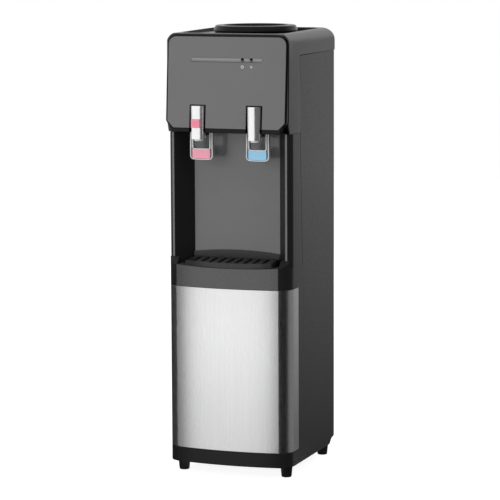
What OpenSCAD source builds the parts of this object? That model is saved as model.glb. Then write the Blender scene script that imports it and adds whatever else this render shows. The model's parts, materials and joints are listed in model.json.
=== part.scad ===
// Top load water cooler: a slim floor-standing cabinet with a hot and a cold tap,
// a cup bay with a lift-out drip tray, and a collar on top for an upturned bottle.
// +X is to the right, the front faces -Y, +Z is up, and the feet stand on Z = 0.

/* [Cabinet] */
// Width over the two side panels
body_w = 280; // [272:1:300]
// Centre line to the crown of the front
front_y = 155.5; // [153:0.5:160]
// Centre line to the rear edges of the side panels
rear_y = 155.5; // [154:0.5:159]
// Radius of the shallow crown across the front
crown_r = 620; // [560:10:900]
// Width of the rounded corner zone beside the crown
corner_w = 24; // [22:0.5:27]
// Radius of the front corners
corner_r = 36.5; // [34:0.5:40]
// Thickness of the side panel sheet
sheet_t = 1; // [0.8:0.1:1.2]
// Thickness of the plastic walls
wall_t = 2.6; // [2.2:0.1:3]
// Height of the feet
foot_h = 27; // [20:1:34]
// Diameter of a foot where it meets the base
foot_d = 27; // [22:1:30]
// Distance of a foot's middle from the side
foot_in = 21.7; // [20:0.1:28]
// Distance of the front feet from the centre line
foot_front = 101; // [90:1:108]
// Distance of the rear feet from the centre line
foot_rear = 138.5; // [125:0.5:139]

/* [Front] */
// Height of the black skirt below the steel panel
skirt_h = 31.8; // [28:0.2:40]
// Height of the steel panel
steel_h = 351.6; // [330:0.2:370]
// Distance from the centre line at which the steel panel ends on the sides
steel_end = 83; // [80:1:86]
// Thickness of the steel panel
steel_t = 1; // [0.8:0.1:1.2]
// Height of the drip tray housing's front
fascia_h = 46.6; // [42:0.2:52]
// Dip of the housing's top edge in the middle
fascia_dip = 3.4; // [2:0.2:4]
// Height of the cup bay above the tray housing
bay_h = 284; // [270:1:300]

/* [Cup bay] */
// Setback of the columns' narrow front lands behind the crown
column_back = 28; // [26:0.5:30]
// Width of a column at its front, to the inner edge of the land
column_front_w = 14; // [13:0.5:16]
// Width of a column at the back of the bay
column_rear_w = 42; // [40:0.5:44]
// Width of a land
land_w = 4.4; // [3:0.2:5]
// Depth of the bay behind the lands
bay_d = 48; // [44:1:50]
// Radius of a column's outer corner
column_r = 16; // [14:0.5:18]
// Thickness of the bay's back panel
bay_back_t = 2.2; // [1.8:0.1:2.4]

/* [Drip tray] */
// Setback of the tray's front lip behind the crown
tray_back = 2.5; // [2:0.5:4]
// Setback of the tray's well behind the crown
well_back = 8.5; // [7.5:0.5:10]
// Radius of the tray's curved front
tray_r = 300; // [280:5:340]
// Height of the tray from its floor to its lip
tray_h = 22; // [20:0.5:24]
// Height of the lip above the housing's deck at the ends
tray_lip = 8.5; // [6:0.5:10]
// Height of the arched upstand above the lip at its ends
upstand_h = 13.5; // [10:0.5:15]
// Extra height of the upstand in the middle
upstand_arch = 6; // [4:0.5:8]
// Thickness of the grate
grate_t = 3.5; // [3:0.1:4]
// Rise of the grate from its front to its rear
grate_rise = 5; // [3:0.5:6]
// Pitch of the grate's slots
slot_pitch = 19.5; // [18:0.5:22]
// Width of the grate's slots
slot_w = 9; // [7:0.5:10]
// Number of slots in the grate
slot_n = 9; // [5:2:9]

/* [Head] */
// Height of the head above the cup bay, to its front top edge
head_h = 210; // [206:1:220]
// Lean of the front panel from upright, in degrees
lean = 4.08; // [3:0.02:4.5]
// Setback of the panel's lower edge behind the crown
panel_back = 6.2; // [5.5:0.1:7]
// Height of the leaning panel
panel_h = 193.5; // [190:0.5:198]
// Distance of the leaning panel's edges from the sides
panel_in = 7.5; // [7:0.1:9]
// Thickness of the leaning panel
panel_t = 2.5; // [2:0.1:2.8]
// Radius of the panel's top corners
panel_r = 17; // [14:0.5:20]
// Size of the cut across the panel's lower corners
panel_cut = 14; // [12:0.5:16]
// Width of the bezel round the panel's top
bezel_top = 6; // [5:0.5:8]
// Depth of the bezel below the panel
bezel_foot = 9.5; // [8:0.5:11]
// Radius of the head's top edges
head_r = 28; // [24:1:30]
// Height of the side panels' top edge above the cup bay
side_top = 164; // [160:1:168]
// Setback of the front frame's rear edge at the head
seam_top = 72; // [68:1:76]
// Setback of the front frame's rear edge at the base
seam_foot = 48; // [44:1:52]
// Reach of the top cover behind the centre line
cap_rear = 161; // [160:0.5:164]
// Radius of the top cover's rear top edge
cap_round = 18; // [14:1:22]
// Width of the shallow recess in the top on either side of the collar
recess_side = 26; // [20:1:28]
// Setback of the recess behind the crown
recess_front = 39; // [37:1:42]
// Depth of the recess below the front top edge
recess_d = 5; // [4:0.5:6]
// Half length of the indicator strip
strip_x = 80; // [60:1:90]
// Height of the indicator strip
strip_h = 8; // [6:0.5:9]
// Distance of the strip's middle below the panel's top edge
strip_drop = 49; // [44:0.5:56]
// Distance of the first lamp from the centre line
lamp_x = 35.5; // [30:0.5:40]
// Distance between the two lamps
lamp_pitch = 20; // [16:0.5:24]
// Radius of a lamp
lamp_r = 2; // [1.5:0.1:2.5]

/* [Taps] */
// Distance of each tap's axis from the centre line
tap_x = 63.7; // [60:0.1:66]
// Setback of the taps' axes behind the crown
tap_back = 13; // [12:0.5:13.5]
// Radius of a tap's round sleeve
sleeve_r = 16; // [15:0.2:17]
// Wall of a sleeve
sleeve_wall = 1.8; // [1.5:0.1:2]
// Height of a sleeve
sleeve_h = 71; // [69:0.5:73]
// Drop of a sleeve's lower edge below the head
sleeve_drop = 13; // [12:0.5:14.5]
// Radius of the spout's tip
spout_r = 9; // [8:0.2:10]
// Length of the spout's tip below its sleeve
spout_l = 4; // [3:0.5:5]
// Width over a paddle lever's two arms
lever_w = 50.6; // [49:0.2:53]
// Depth of the arms
arm_d = 12; // [10:0.5:13]
// Thickness of an arm
arm_t = 6.6; // [6:0.1:6.8]
// Height of the lever's pivot above the cup bay
pivot_up = 19; // [17:0.5:20]
// Length of the lever below its pivot
lever_l = 78; // [74:0.5:82]
// Height of the coloured plate
plate_h = 21.5; // [19:0.5:23]
// Width of the coloured plate
plate_w = 41.4; // [40:0.2:41.6]
// Diameter of the lever's pivot
pivot_d = 4; // [3.5:0.1:4.4]
// Diameter of the threaded shank behind a tap
shank_d = 16; // [14:0.5:17]
// Height of the shank above the cup bay
shank_up = 34; // [33:0.5:38]
// Width of the child lock button
lock_w = 19; // [16:0.5:20]
// Height of the child lock button
lock_h = 18; // [16:0.5:19]
// Travel of the child lock button
lock_travel = 2.5; // [2:0.1:2.8]

/* [Bottle collar] */
// Distance of the bottle's axis behind the centre line
bottle_y = 38.5; // [37.5:0.1:38.5]
// Largest radius of the collar
collar_r = 92; // [90:0.5:96]
// Radius of the collar's upper edge
collar_top_r = 87.4; // [86:0.2:89]
// Radius of the collar's mouth
mouth_r = 70; // [68:0.5:74]
// Height of the collar above the front top edge
collar_up = 12; // [10:0.5:14]
// Radius of the bore that takes the bottle's neck
neck_r = 28.5; // [28:0.1:30]
// Radius of the water guard's central tube
probe_r = 9; // [8:0.5:10]

/* [Tanks and hoses] */
// Radius of the cold tank
cold_r = 72; // [68:1:72]
// Height of the cold tank
cold_h = 178; // [160:1:180]
// Radius of the evaporator's tube
coil_r = 2.8; // [2.4:0.1:3]
// Turns of the evaporator round the cold tank
coil_n = 7; // [4:1:10]
// Outer radius of the cold tank's insulation
foam_r = 92; // [90:0.5:92]
// Radius of the hot tank
hot_r = 42; // [38:1:44]
// Height of the hot tank
hot_h = 130; // [110:1:135]
// Outer radius of the hot tank's jacket
jacket_r = 54; // [52:1:56]
// Outer radius of the hoses
hose_r = 5; // [4.6:0.1:5.4]
// Inner radius of the hoses
hose_bore_r = 3.1; // [2.8:0.1:3.3]
// Bend radius of the hoses
hose_bend = 12; // [11:0.5:13]

/* [Cooling unit] */
// Radius of the compressor's can
can_r = 57; // [50:1:57]
// Height of the compressor's can
can_h = 132; // [110:1:150]
// Radius of the condenser's tube
cond_r = 2.4; // [2:0.1:2.6]
// Pitch of the condenser's runs
cond_pitch = 35; // [30:1:38]
// Number of the condenser's runs
cond_n = 12; // [8:2:12]
// Half length of the condenser's runs
cond_x = 88; // [80:1:92]
// Pitch of the condenser's wires
wire_pitch = 11; // [10:0.5:14]
// Radius of a condenser wire
wire_r = 0.8; // [0.6:0.1:0.9]
// Radius of the refrigerant tubes
line_r = 3; // [2.5:0.1:3.2]

/* [Rear] */
// Recess of the rear panel in front of the side panels' rear edges
rear_recess = 24.5; // [24:0.5:26]
// Width of the rear flange of a side panel
flange_w = 14; // [12:0.5:15]
// Height of the lower rear grille
grille_h = 128; // [120:1:140]
// Width of a rocker switch
rocker_w = 13; // [11:0.5:15]
// Radius of the drain cap
cap_r = 11; // [10:0.5:13]

/* [Fits] */
// Gap between neighbouring pieces
gap = 0.3; // [0.25:0.05:0.4]
// Radial clearance of a pin or shaft in its bore
run = 0.06; // [0.03:0.01:0.1]

/* [Hidden] */

// Heights and outline points that follow from the sizes above
half_w = body_w / 2;
crease_x = half_w - corner_w;
crown_cy = crown_r - front_y;
crease_y = crown_cy - sqrt(crown_r * crown_r - crease_x * crease_x);
corner_cx = half_w - corner_r;
corner_cy = crease_y + sqrt(corner_r * corner_r - pow(crease_x - corner_cx, 2));
skirt_z = foot_h + skirt_h;
steel_z = skirt_z + steel_h;
deck_z = steel_z + fascia_h;
head_z = deck_z + bay_h;
top_z = head_z + head_h;
side_z = head_z + side_top;
rise = 3;
foot_x = half_w - foot_in;
panel_w = body_w - 2 * panel_in;
land_y = column_back - front_y;
bay_y = land_y + bay_d;
bay_x = half_w - column_rear_w;
land_x = half_w - column_front_w;
tray_x = bay_x;
deck_x = crease_x - gap;
lip_z = deck_z + tray_lip;
floor_z = lip_z - tray_h;
tray_rear = bay_y - 4;
ledge_z = deck_z + 3;
inner_y = rear_y - rear_recess;
recess_rear_y = bottle_y + collar_r + 1;
collar_hole = collar_r - 8;

// Curved seam between the front frame and the side panels, from the base to the head
cheek_y = -seam_top + 4;
cheek_z = head_z + 69;
cheek_in = 2;
cheek_run = 50;
function seam(height, back) =
    [-seam_foot + (cheek_y + seam_foot) * back, foot_h + (head_z - foot_h) * height];
frame_back = [seam(0, 0), seam(0.185, 0), seam(0.49, 0.1), seam(0.675, 0.525), seam(0.946, 1),
    [cheek_y, cheek_z], [-seam_top, side_z]];

function arc(cx, cy, r, a0, a1, n) =
    [for (i = [0:n]) [cx + r * cos(a0 + (a1 - a0) * i / n), cy + r * sin(a0 + (a1 - a0) * i / n)]];

// Box between two corners
module box(x0, x1, y0, y1, z0, z1) {
    translate([x0, y0, z0]) cube([x1 - x0, y1 - y0, z1 - z0]);
}

// Outline in Y and Z carried from x0 to x1
module side_cut(points, x0, x1) {
    translate([x0, 0, 0]) rotate([90, 0, 90]) linear_extrude(x1 - x0) polygon(points);
}

// Outline in X and Z carried from y0 to y1
module front_cut(points, y0, y1) {
    translate([0, y1, 0]) rotate([90, 0, 0]) linear_extrude(y1 - y0) polygon(points);
}

// Round rod along X, Y or Z
module rod_x(x0, x1, y, z, r) {
    translate([x0, y, z]) rotate([0, 90, 0]) cylinder(h = x1 - x0, r = r, $fn = 48);
}
module rod_y(x, y0, y1, z, r) {
    translate([x, y0, z]) rotate([-90, 0, 0]) cylinder(h = y1 - y0, r = r, $fn = 48);
}
module rod_z(x, y, z0, z1, r) {
    translate([x, y, z0]) cylinder(h = z1 - z0, r = r, $fn = 64);
}

// Low vent holes through both sides, numbered from the middle
vent_pitch = 28.5;
vent_z = foot_h + 8.5;
vent_r = 2;
module vent(i) {
    for (s = [-1, 1]) rod_x(s * half_w - 6, s * half_w + 6, i * vent_pitch + 3, vent_z, vent_r);
}

// Plan of the lower cabinet, set in by t, as a solid from z0 to z1
module cabinet(t, z0, z1, y_end) {
    intersection() {
        translate([0, crown_cy, z0]) cylinder(h = z1 - z0, r = crown_r - t, $fn = 256);
        box(-crease_x, crease_x, -front_y, corner_cy, z0, z1);
    }
    for (s = [-1, 1]) intersection() {
        translate([s * corner_cx, corner_cy, z0]) cylinder(h = z1 - z0, r = corner_r - t, $fn = 128);
        box(s > 0 ? crease_x : -half_w, s > 0 ? half_w : -crease_x, -front_y, corner_cy, z0, z1);
    }
    box(-half_w + t, half_w - t, corner_cy, y_end, z0, z1);
}

// Wall of the lower cabinet between two set-ins, open at the rear
module cabinet_wall(t0, t1, z0, z1, y_end) {
    difference() {
        cabinet(t0, z0, z1, y_end);
        cabinet(t1, z0 - 1, z1 + 1, y_end + 1);
    }
}

// Level section of one column, set in by t
module column_plan(t) {
    splay = atan2(land_x - bay_x, bay_y - land_y);
    side = half_w - gap;
    polygon(concat(
        [[bay_x + t / cos(splay), bay_y], [land_x + t / cos(splay) - t * tan(splay), land_y + 1 + t],
         [land_x + land_w - 0.6, land_y + 1 + t]],
        arc(side - column_r, land_y + column_r, column_r - t, -62, 0, 10),
        [[side - t, -20], [bay_x + t / cos(splay), -20]]));
}

// Front frame: skirt, backing of the steel panel, corners and the two columns
module front_frame() {
    color([0.1, 0.1, 0.11]) difference() {
        union() {
            cabinet_wall(0, wall_t, foot_h, skirt_z, 0);
            difference() {
                cabinet_wall(steel_t + gap, steel_t + gap + wall_t, skirt_z, steel_z + wall_t, 0);
                box(gap / 2 - crease_x, crease_x - gap / 2, -front_y, -60, steel_z, steel_z + 2 * wall_t);
            }
            difference() {
                cabinet_wall(0, steel_t + gap + wall_t, skirt_z, steel_z, 0);
                box(-half_w, half_w, -front_y, gap - steel_end, skirt_z - 1, steel_z + 1);
            }
            difference() {
                cabinet_wall(0, wall_t, steel_z, deck_z, 0);
                box(-crease_x, crease_x, -front_y, -60, steel_z - 1, deck_z + 1);
            }
            difference() {
                union() {
                    cabinet(0, deck_z - wall_t, deck_z, 0);
                    intersection() {
                        side_cut([[-front_y + 13, deck_z], [land_y + 2, deck_z],
                            [land_y + 2, deck_z + 15]], -half_w, half_w);
                        cabinet(0, deck_z - 1, deck_z + 20, 0);
                    }
                }
                box(-crease_x, crease_x, -front_y, 5, deck_z - 10, deck_z + 30);
            }
            difference() {
                for (m = [0, 1]) mirror([m, 0, 0]) translate([0, 0, deck_z - 0.5])
                    linear_extrude(bay_h - gap + 0.5) difference() {
                        column_plan(0);
                        column_plan(wall_t);
                    }
                box(-crease_x, crease_x, -front_y, 5, deck_z - 10, deck_z + gap);
            }
        }
        // rear edge of the frame, where the side panels begin
        side_cut(concat(frame_back, [[20, side_z], [20, foot_h - 1], [-seam_foot, foot_h - 1]]),
            -half_w - 1, half_w + 1);
        for (i = [-4, -3]) vent(i);
    }
}

// Stainless skin over the lower front, round both corners
module steel_panel() {
    color([0.78, 0.78, 0.79]) cabinet_wall(0, steel_t, skirt_z + gap, steel_z - gap, -steel_end);
}

// Plan of the drip tray at a setback behind the crown, set in by t
module tray_plan(t, back, z0, z1) {
    intersection() {
        translate([0, tray_r - front_y + back, z0]) cylinder(h = z1 - z0, r = tray_r - t, $fn = 256);
        box(-tray_x + t, tray_x - t, -front_y, tray_rear - t, z0, z1);
    }
}

// Everything above the housing's dipped deck, a parabola across the width, raised by g
module above_deck(g) {
    reach = deck_x + 4;
    front_cut(concat([[-half_w, deck_z + 20]], [for (k = [-6:6]) let (x = reach * k / 6)
        [x, deck_z + g - fascia_dip * (1 - pow(x / deck_x, 2))]], [[half_w, deck_z + 20]]),
        -front_y - 5, bay_y);
}

// Tray housing: curved front, deck and the well that the tray sits in
module tray_housing() {
    color([0.34, 0.34, 0.35]) difference() {
        union() {
            intersection() {
                cabinet_wall(0, 3, steel_z + gap, deck_z, -100);
                box(-deck_x, deck_x, -front_y, -100, steel_z, deck_z);
            }
            intersection() {
                cabinet(1, deck_z - 6, deck_z, bay_y - gap);
                box(-deck_x, deck_x, -front_y, bay_y - gap, deck_z - 10, deck_z + 1);
            }
            tray_plan(-3.5, well_back, floor_z - 2.8, deck_z - 5);
        }
        tray_plan(-1, well_back, floor_z - gap, deck_z + 5);
        above_deck(0);
    }
}

// Lift-out tray with a low curved lip over the deck and an arched upstand at the back
module drip_tray() {
    wall = 2;
    arch_r = tray_x * tray_x / (2 * upstand_arch) + upstand_arch / 2;
    peak = lip_z + upstand_h + upstand_arch;
    color([0.16, 0.16, 0.17]) {
        difference() {
            tray_plan(0, well_back, floor_z, ledge_z);
            tray_plan(wall, well_back, floor_z + wall, ledge_z + 1);
        }
        difference() {
            tray_plan(1, well_back, ledge_z - wall, ledge_z);
            tray_plan(5, well_back, ledge_z - wall - 1, ledge_z + 1);
        }
        difference() {
            intersection() {
                tray_plan(0, tray_back, deck_z - 10, lip_z);
                above_deck(gap);
            }
            tray_plan(wall, tray_back, ledge_z, lip_z + 1);
            tray_plan(1, well_back, deck_z - 11, ledge_z + 1);
        }
        intersection() {
            box(-tray_x, tray_x, tray_rear - wall, tray_rear, lip_z - 1, peak);
            rod_y(0, tray_rear - wall - 1, tray_rear + 1, peak - arch_r, arch_r);
        }
    }
}

// Slotted grate over the tray, rising to the rear, with a skirt that stands on the ledge
module drip_grate() {
    front = tray_back - front_y;
    low = ledge_z + gap;
    top0 = lip_z - 1;
    top1 = top0 + grate_rise;
    color([0.2, 0.2, 0.21]) difference() {
        union() {
            intersection() {
                tray_plan(2.4, tray_back, deck_z, top1 + 1);
                side_cut([[front, top0 - grate_t], [front, top0], [tray_rear, top1],
                    [tray_rear, top1 - grate_t]], -tray_x, tray_x);
            }
            intersection() {
                difference() {
                    tray_plan(2.4, tray_back, low, top1);
                    tray_plan(5, tray_back, low - 1, top1 + 1);
                }
                side_cut([[front, low], [front, top0 - 1], [tray_rear, top1 - 1], [tray_rear, low]],
                    -tray_x, tray_x);
            }
        }
        for (i = [0:slot_n - 1]) {
            x = (i - (slot_n - 1) / 2) * slot_pitch;
            y0 = front + x * x / (2 * tray_r) + slot_w / 2 + 7;
            y1 = tray_rear - slot_w / 2 - 6;
            box(x - slot_w / 2, x + slot_w / 2, y0, y1, low, top1 + 1);
            for (y = [y0, y1]) rod_z(x, y, low, top1 + 1, slot_w / 2);
        }
    }
}

// Back panel of the cup bay, with two upright ribs behind it
rib_d = 10;
rib_x = 60;
module bay_back() {
    color([0.42, 0.42, 0.43]) {
        box(-bay_x + gap, bay_x - gap, bay_y, bay_y + bay_back_t, deck_z - 6, head_z - gap);
        for (s = [-1, 1]) box(s * rib_x - 4, s * rib_x + 4, bay_y + bay_back_t, bay_y + rib_d,
            deck_z + 20, head_z - 12);
    }
}

// Pale lands on the fronts of the two columns
module column_trims() {
    color([0.5, 0.5, 0.51]) for (s = [-1, 1])
        box(s > 0 ? land_x : -land_x - land_w, s > 0 ? land_x + land_w : -land_x,
            land_y, land_y + 1, deck_z + 15, head_z - gap);
}

// Folded sheet side panel, with its rear flange and low vent holes
module side_panel(s) {
    color([0.3, 0.3, 0.31]) difference() {
        intersection() {
            union() {
                box(s > 0 ? half_w - sheet_t : -half_w, s > 0 ? half_w : -half_w + sheet_t,
                    -100, rear_y, foot_h, side_z - gap);
                box(s > 0 ? half_w - flange_w : -half_w, s > 0 ? half_w : -half_w + flange_w,
                    rear_y - sheet_t, rear_y, foot_h + 15, side_z - gap);
            }
            side_cut(concat([for (p = frame_back) [p[0] + gap, p[1]]],
                [[rear_y + 1, side_z], [rear_y + 1, foot_h + 15], [rear_y - 17, foot_h + 11],
                 [rear_y - 27, foot_h + 4], [rear_y - 31, foot_h]]), -half_w - 1, half_w + 1);
        }
        for (i = [-1:4]) vent(i);
        for (z = screw_z) rod_y(s * screw_x, rear_y - 5, rear_y + 5, z, 2);
    }
}

module side_panel_left() { side_panel(-1); }
module side_panel_right() { side_panel(1); }

// Pan-shaped sheet: flanges at the sides and a middle set in by the recess
module rear_sheet(z0, z1) {
    flange_y = rear_y - sheet_t - gap - sheet_t;
    edge_x = half_w - flange_w - 3;
    for (s = [-1, 1]) {
        box(s > 0 ? edge_x : -half_w + sheet_t + gap, s > 0 ? half_w - sheet_t - gap : -edge_x,
            flange_y, flange_y + sheet_t, z0, z1);
        box(s > 0 ? edge_x : -edge_x - sheet_t, s > 0 ? edge_x + sheet_t : -edge_x,
            inner_y, flange_y + sheet_t, z0, z1);
    }
    box(-edge_x - sheet_t, edge_x + sheet_t, inner_y, inner_y + sheet_t, z0, z1);
}

grille_z = foot_h + 32;
rear_z = grille_z + grille_h + gap;
switch_z = head_z + 118;
drain_z = rear_z + 112;
gland_z = rear_z + 60;
gland_x = half_w - 55;
drain_x = 62 - half_w;
switch_x = half_w - 50;

// Places of the screws: two in each edge of the grille and four in each of the rear panel
screw_in = 16;
screw_step = (side_z - rear_z - 2 * screw_in) / 3;
screw_z = concat([grille_z + screw_in, grille_z + grille_h - screw_in],
    [for (i = [0:3]) rear_z + screw_in + i * screw_step]);
screw_x = half_w - flange_w / 2 - 1;

// Upper rear panel
module rear_panel() {
    color([0.16, 0.16, 0.17]) difference() {
        rear_sheet(rear_z, side_z - gap);
        for (s = [-1, 1], z = screw_z) rod_y(s * screw_x, rear_y - 10, rear_y + 5, z, 2);
        rod_y(drain_x, inner_y - 5, inner_y + 5, drain_z, 8 + gap);
        rod_y(gland_x, inner_y - 5, inner_y + 5, gland_z, 8 + run);
        rod_y(cond_x + 12, inner_y - 5, inner_y + 5, cond_z, line_r + 1);
        box(switch_x - 24, switch_x + 24, inner_y - 5, inner_y + 5, switch_z - 11, switch_z + 11);
        for (i = [0:5], x = [-60, 0, 60]) box(x - 22, x + 22, inner_y - 5, inner_y + 5,
            rear_z + 14 + i * 7, rear_z + 17 + i * 7);
    }
}

// Slotted lower rear grille in front of the compressor
module rear_grille() {
    color([0.12, 0.12, 0.13]) difference() {
        rear_sheet(grille_z, grille_z + grille_h);
        for (s = [-1, 1], z = screw_z) rod_y(s * screw_x, rear_y - 10, rear_y + 5, z, 2);
        for (i = [0:8], x = [-57, 57]) box(x - 48, x + 48, inner_y - 5, inner_y + 5,
            grille_z + 12 + i * 12, grille_z + 18 + i * 12);
    }
}

// Moulded base: floor, low walls and the feet's sockets
module base_pan() {
    set_in = wall_t + gap;
    pan_rear = rear_y - 4;
    color([0.13, 0.13, 0.14]) difference() {
        union() {
            difference() {
                cabinet(set_in, foot_h, skirt_z - 1, pan_rear);
                cabinet(set_in + 3, foot_h + 4, skirt_z, pan_rear - 3);
            }
            for (x = [-foot_x, foot_x], y = [-foot_front, foot_rear])
                rod_z(x, y, foot_h, foot_h + 18, 9);
        }
        // cut rear corners, so that the side panels' lower rear edges stand clear
        for (s = [-1, 1]) translate([0, 0, foot_h - 1]) linear_extrude(skirt_h + 2)
            polygon([[s * (half_w + 1), rear_y - 18], [s * (half_w - 5), rear_y - 18],
                [s * (half_w - 7), rear_y + 1], [s * (half_w + 1), rear_y + 1]]);
        for (x = [-foot_x, foot_x], y = [-foot_front, foot_rear])
            rod_z(x, y, foot_h - 1, foot_h + 15, 4 + run);
        for (x = [-62, 62], y = [can_y - 38, can_y + 38]) rod_z(x, y, foot_h - 1, foot_h + 5, 3.2);
    }
}

// Four tapered rubber feet with stems
module feet() {
    r = foot_d / 2;
    color([0.08, 0.08, 0.08]) for (x = [-foot_x, foot_x], y = [-foot_front, foot_rear])
        translate([x, y, 0]) rotate_extrude($fn = 64) polygon([[0, 0], [r - 4, 0], [r - 2.6, 0.5],
            [r - 1.8, 1.9], [r - 0.5, foot_h - 4], [r, foot_h], [4, foot_h], [4, foot_h + 14],
            [0, foot_h + 14]]);
}

// Side outline of the head and top, set in by t
function cap_side(t) = concat([[-seam_top - 48 + t, head_z + gap], [land_y + 1 + t, head_z + gap],
    [t - front_y + 19.5, head_z + 25], [t - front_y + 20, head_z + 36],
    [t - front_y + 21.5, head_z + 109], [t - front_y + 24, top_z - 3 - t],
    [t - front_y + 26.5, top_z - t], [cap_rear - cap_round - 25, top_z + rise - t]],
    arc(cap_rear - cap_round, top_z + rise - cap_round, cap_round - t, 90, 0, 8),
    [[cap_rear - t, side_z], [-seam_top, side_z], [cheek_y, cheek_z], [cheek_y, head_z + gap]]);

// Plan of the head, drawn in towards the front and set in by t, from z0 to z1
module head_plan(t, z0, z1) {
    x = half_w - t;
    y = -seam_top - 12;
    translate([0, 0, z0]) linear_extrude(z1 - z0) polygon([[-x, 200], [-x, y],
        [cheek_in - x, y - cheek_run], [cheek_in - x, -200], [x - cheek_in, -200],
        [x - cheek_in, y - cheek_run], [x, y], [x, 200]]);
}

// Body of the head with rounded top edges, set in by t
module cap_body(t) {
    r = head_r - t;
    intersection() {
        side_cut(cap_side(t), -half_w + t, half_w - t);
        head_plan(t, head_z - 5, top_z + rise + 5);
        union() {
            box(-half_w + t, half_w - t, -200, 200, head_z - 5, top_z + rise - head_r);
            box(-half_w + head_r, half_w - head_r, -200, 200, top_z - 60, top_z + rise + 5);
            for (s = [-1, 1]) rod_y(s * (half_w - head_r), -200, 200, top_z + rise - head_r, r);
        }
    }
}

// Rounded rectangle in plan, grown by t, for the shallow recess round the collar
module recess_plan(t) {
    r = 28 + t;
    x = collar_r + recess_side + t - r;
    y0 = recess_front - front_y - t + r;
    y1 = recess_rear_y + t - r;
    for (sx = [-1, 1], y = [y0, y1]) translate([sx * x, y]) circle(r = r, $fn = 96);
    translate([-x - r, y0]) square([2 * (x + r), y1 - y0]);
    translate([-x, y0 - r]) square([2 * x, y1 - y0 + 2 * r]);
}

// Inside of the head behind the bezel, open at the front, set in by t
module head_inside(t) {
    r = head_r - t;
    x = half_w - t;
    z = top_z + rise - head_r;
    intersection() {
        union() {
            box(-x, x, -200, -seam_top - 30, head_z - 5, z);
            box(-x + r, x - r, -200, -seam_top - 30, z - 10, z + r);
            for (s = [-1, 1]) rod_y(s * (x - r), -200, -seam_top - 30, z, r);
        }
        box(-x, x, -200, 0, head_z - 5, top_z - t);
        head_plan(t, head_z - 6, top_z + rise);
    }
}

// Top cover and upper side cheeks in one shell, with the recess that the collar stands in
module top_cover() {
    color([0.35, 0.35, 0.36]) difference() {
        cap_body(0);
        difference() {
            intersection() {
                cap_body(wall_t);
                box(-half_w, half_w, -seam_top - 30, 200, head_z - 5, top_z + 20);
            }
            translate([0, 0, top_z - recess_d - wall_t]) linear_extrude(30) recess_plan(wall_t);
        }
        difference() {
            head_inside(wall_t);
            translate([0, 0, top_z - recess_d - wall_t]) linear_extrude(30) recess_plan(wall_t);
        }
        box(-half_w + wall_t, half_w - wall_t, -seam_top - 31, cap_rear - wall_t, head_z - 5, side_z + 5);
        translate([0, 0, top_z - recess_d]) linear_extrude(30) recess_plan(0);
        translate([0, bottle_y, top_z - 40]) cylinder(h = 60, r = collar_hole, $fn = 128);
    }
}

// Height of the panel's lower edge above the bay, and depth of the bezel behind the panel's face
panel_foot = 10.5;
bezel_d = 14;

// Places things in the leaning plane of the front panel, whose lower edge is at w = 0
module leaning() {
    translate([0, panel_back - front_y, head_z + panel_foot]) rotate([-lean, 0, 0]) children();
}
module lean_box(x0, x1, d0, d1, w0, w1) {
    leaning() box(x0, x1, d0, d1, w0, w1);
}
module lean_cut(points, d0, d1) {
    leaning() front_cut(points, d0, d1);
}

// Front view of the panel, grown by g
function panel_shape(g) = concat(
    [[-panel_w / 2 - g, panel_cut], [-panel_w / 2 + panel_cut - g * 0.4, -g],
     [panel_w / 2 - panel_cut + g * 0.4, -g], [panel_w / 2 + g, panel_cut]],
    arc(panel_w / 2 - panel_r, panel_h - panel_r, panel_r + g, 0, 90, 8),
    arc(-panel_w / 2 + panel_r, panel_h - panel_r, panel_r + g, 90, 180, 8));

// Outer front view of the bezel
bezel_x = half_w - 3.5;
bezel_r = head_r - 4;
bezel_shape = concat(
    [[-bezel_x, 15], [-bezel_x + 14, -bezel_foot], [bezel_x - 14, -bezel_foot], [bezel_x, 15]],
    arc(bezel_x - bezel_r, panel_h + bezel_top - bezel_r, bezel_r, 0, 90, 8),
    arc(-bezel_x + bezel_r, panel_h + bezel_top - bezel_r, bezel_r, 90, 180, 8));

// Notches that the taps stand in, from depth d0 to d1 behind the panel's face
module tap_notches(d0, d1, grow) {
    h = sleeve_h - sleeve_drop + 2 - panel_foot;
    w = sleeve_r + 2.3 + grow;
    for (s = [-1, 1]) lean_box(s * tap_x - w, s * tap_x + w, d0, d1, -40, h + grow);
}

// Glossy bezel round the panel
module head_bezel() {
    color([0.06, 0.06, 0.07]) difference() {
        union() {
            difference() {
                lean_cut(bezel_shape, 0, bezel_d);
                lean_cut(panel_shape(-5), -2, bezel_d + 3);
            }
            // surround behind the panel that ties the lower band together round each tap
            intersection() {
                tap_notches(panel_t + gap, bezel_d, 4);
                lean_box(-half_w, half_w, 0, bezel_d + 1, -1, 100);
            }
        }
        lean_cut(panel_shape(gap), -2, panel_t + gap);
        tap_notches(-5, bezel_d + 2, 0);
        // where the cover's cheeks and top lap over it
        difference() {
            cap_body(-gap);
            head_inside(wall_t + gap);
        }
    }
}

// Flat leaning panel with the groove for the indicator strip
module head_panel() {
    color([0.42, 0.42, 0.43]) difference() {
        lean_cut(panel_shape(0), 0, panel_t);
        tap_notches(-5, 12, 0);
        lean_box(-strip_x - gap, strip_x + gap, -1, 5, strip_w - strip_h / 2 - gap,
            strip_w + strip_h / 2 + gap);
    }
}
strip_w = panel_h - strip_drop;

// Recessed indicator strip with two lamp holes
module indicator_strip() {
    color([0.25, 0.25, 0.26]) difference() {
        leaning() side_cut([[panel_t + 1, strip_w - strip_h / 2], [0.6, strip_w - strip_h / 2],
            [1.8, strip_w - 0.5], [0.3, strip_w + strip_h / 2], [panel_t + 1, strip_w + strip_h / 2]],
            -strip_x, strip_x);
        for (x = [lamp_x, lamp_x + lamp_pitch]) leaning() rod_y(x, -2, 8, strip_w, lamp_r + run);
    }
}

// Two lamps on the board, showing through the strip
module indicator_lamps() {
    color([0.1, 0.1, 0.12]) for (x = [lamp_x, lamp_x + lamp_pitch]) leaning()
        rod_y(x, 0.6, board_d, strip_w, lamp_r);
}

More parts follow.
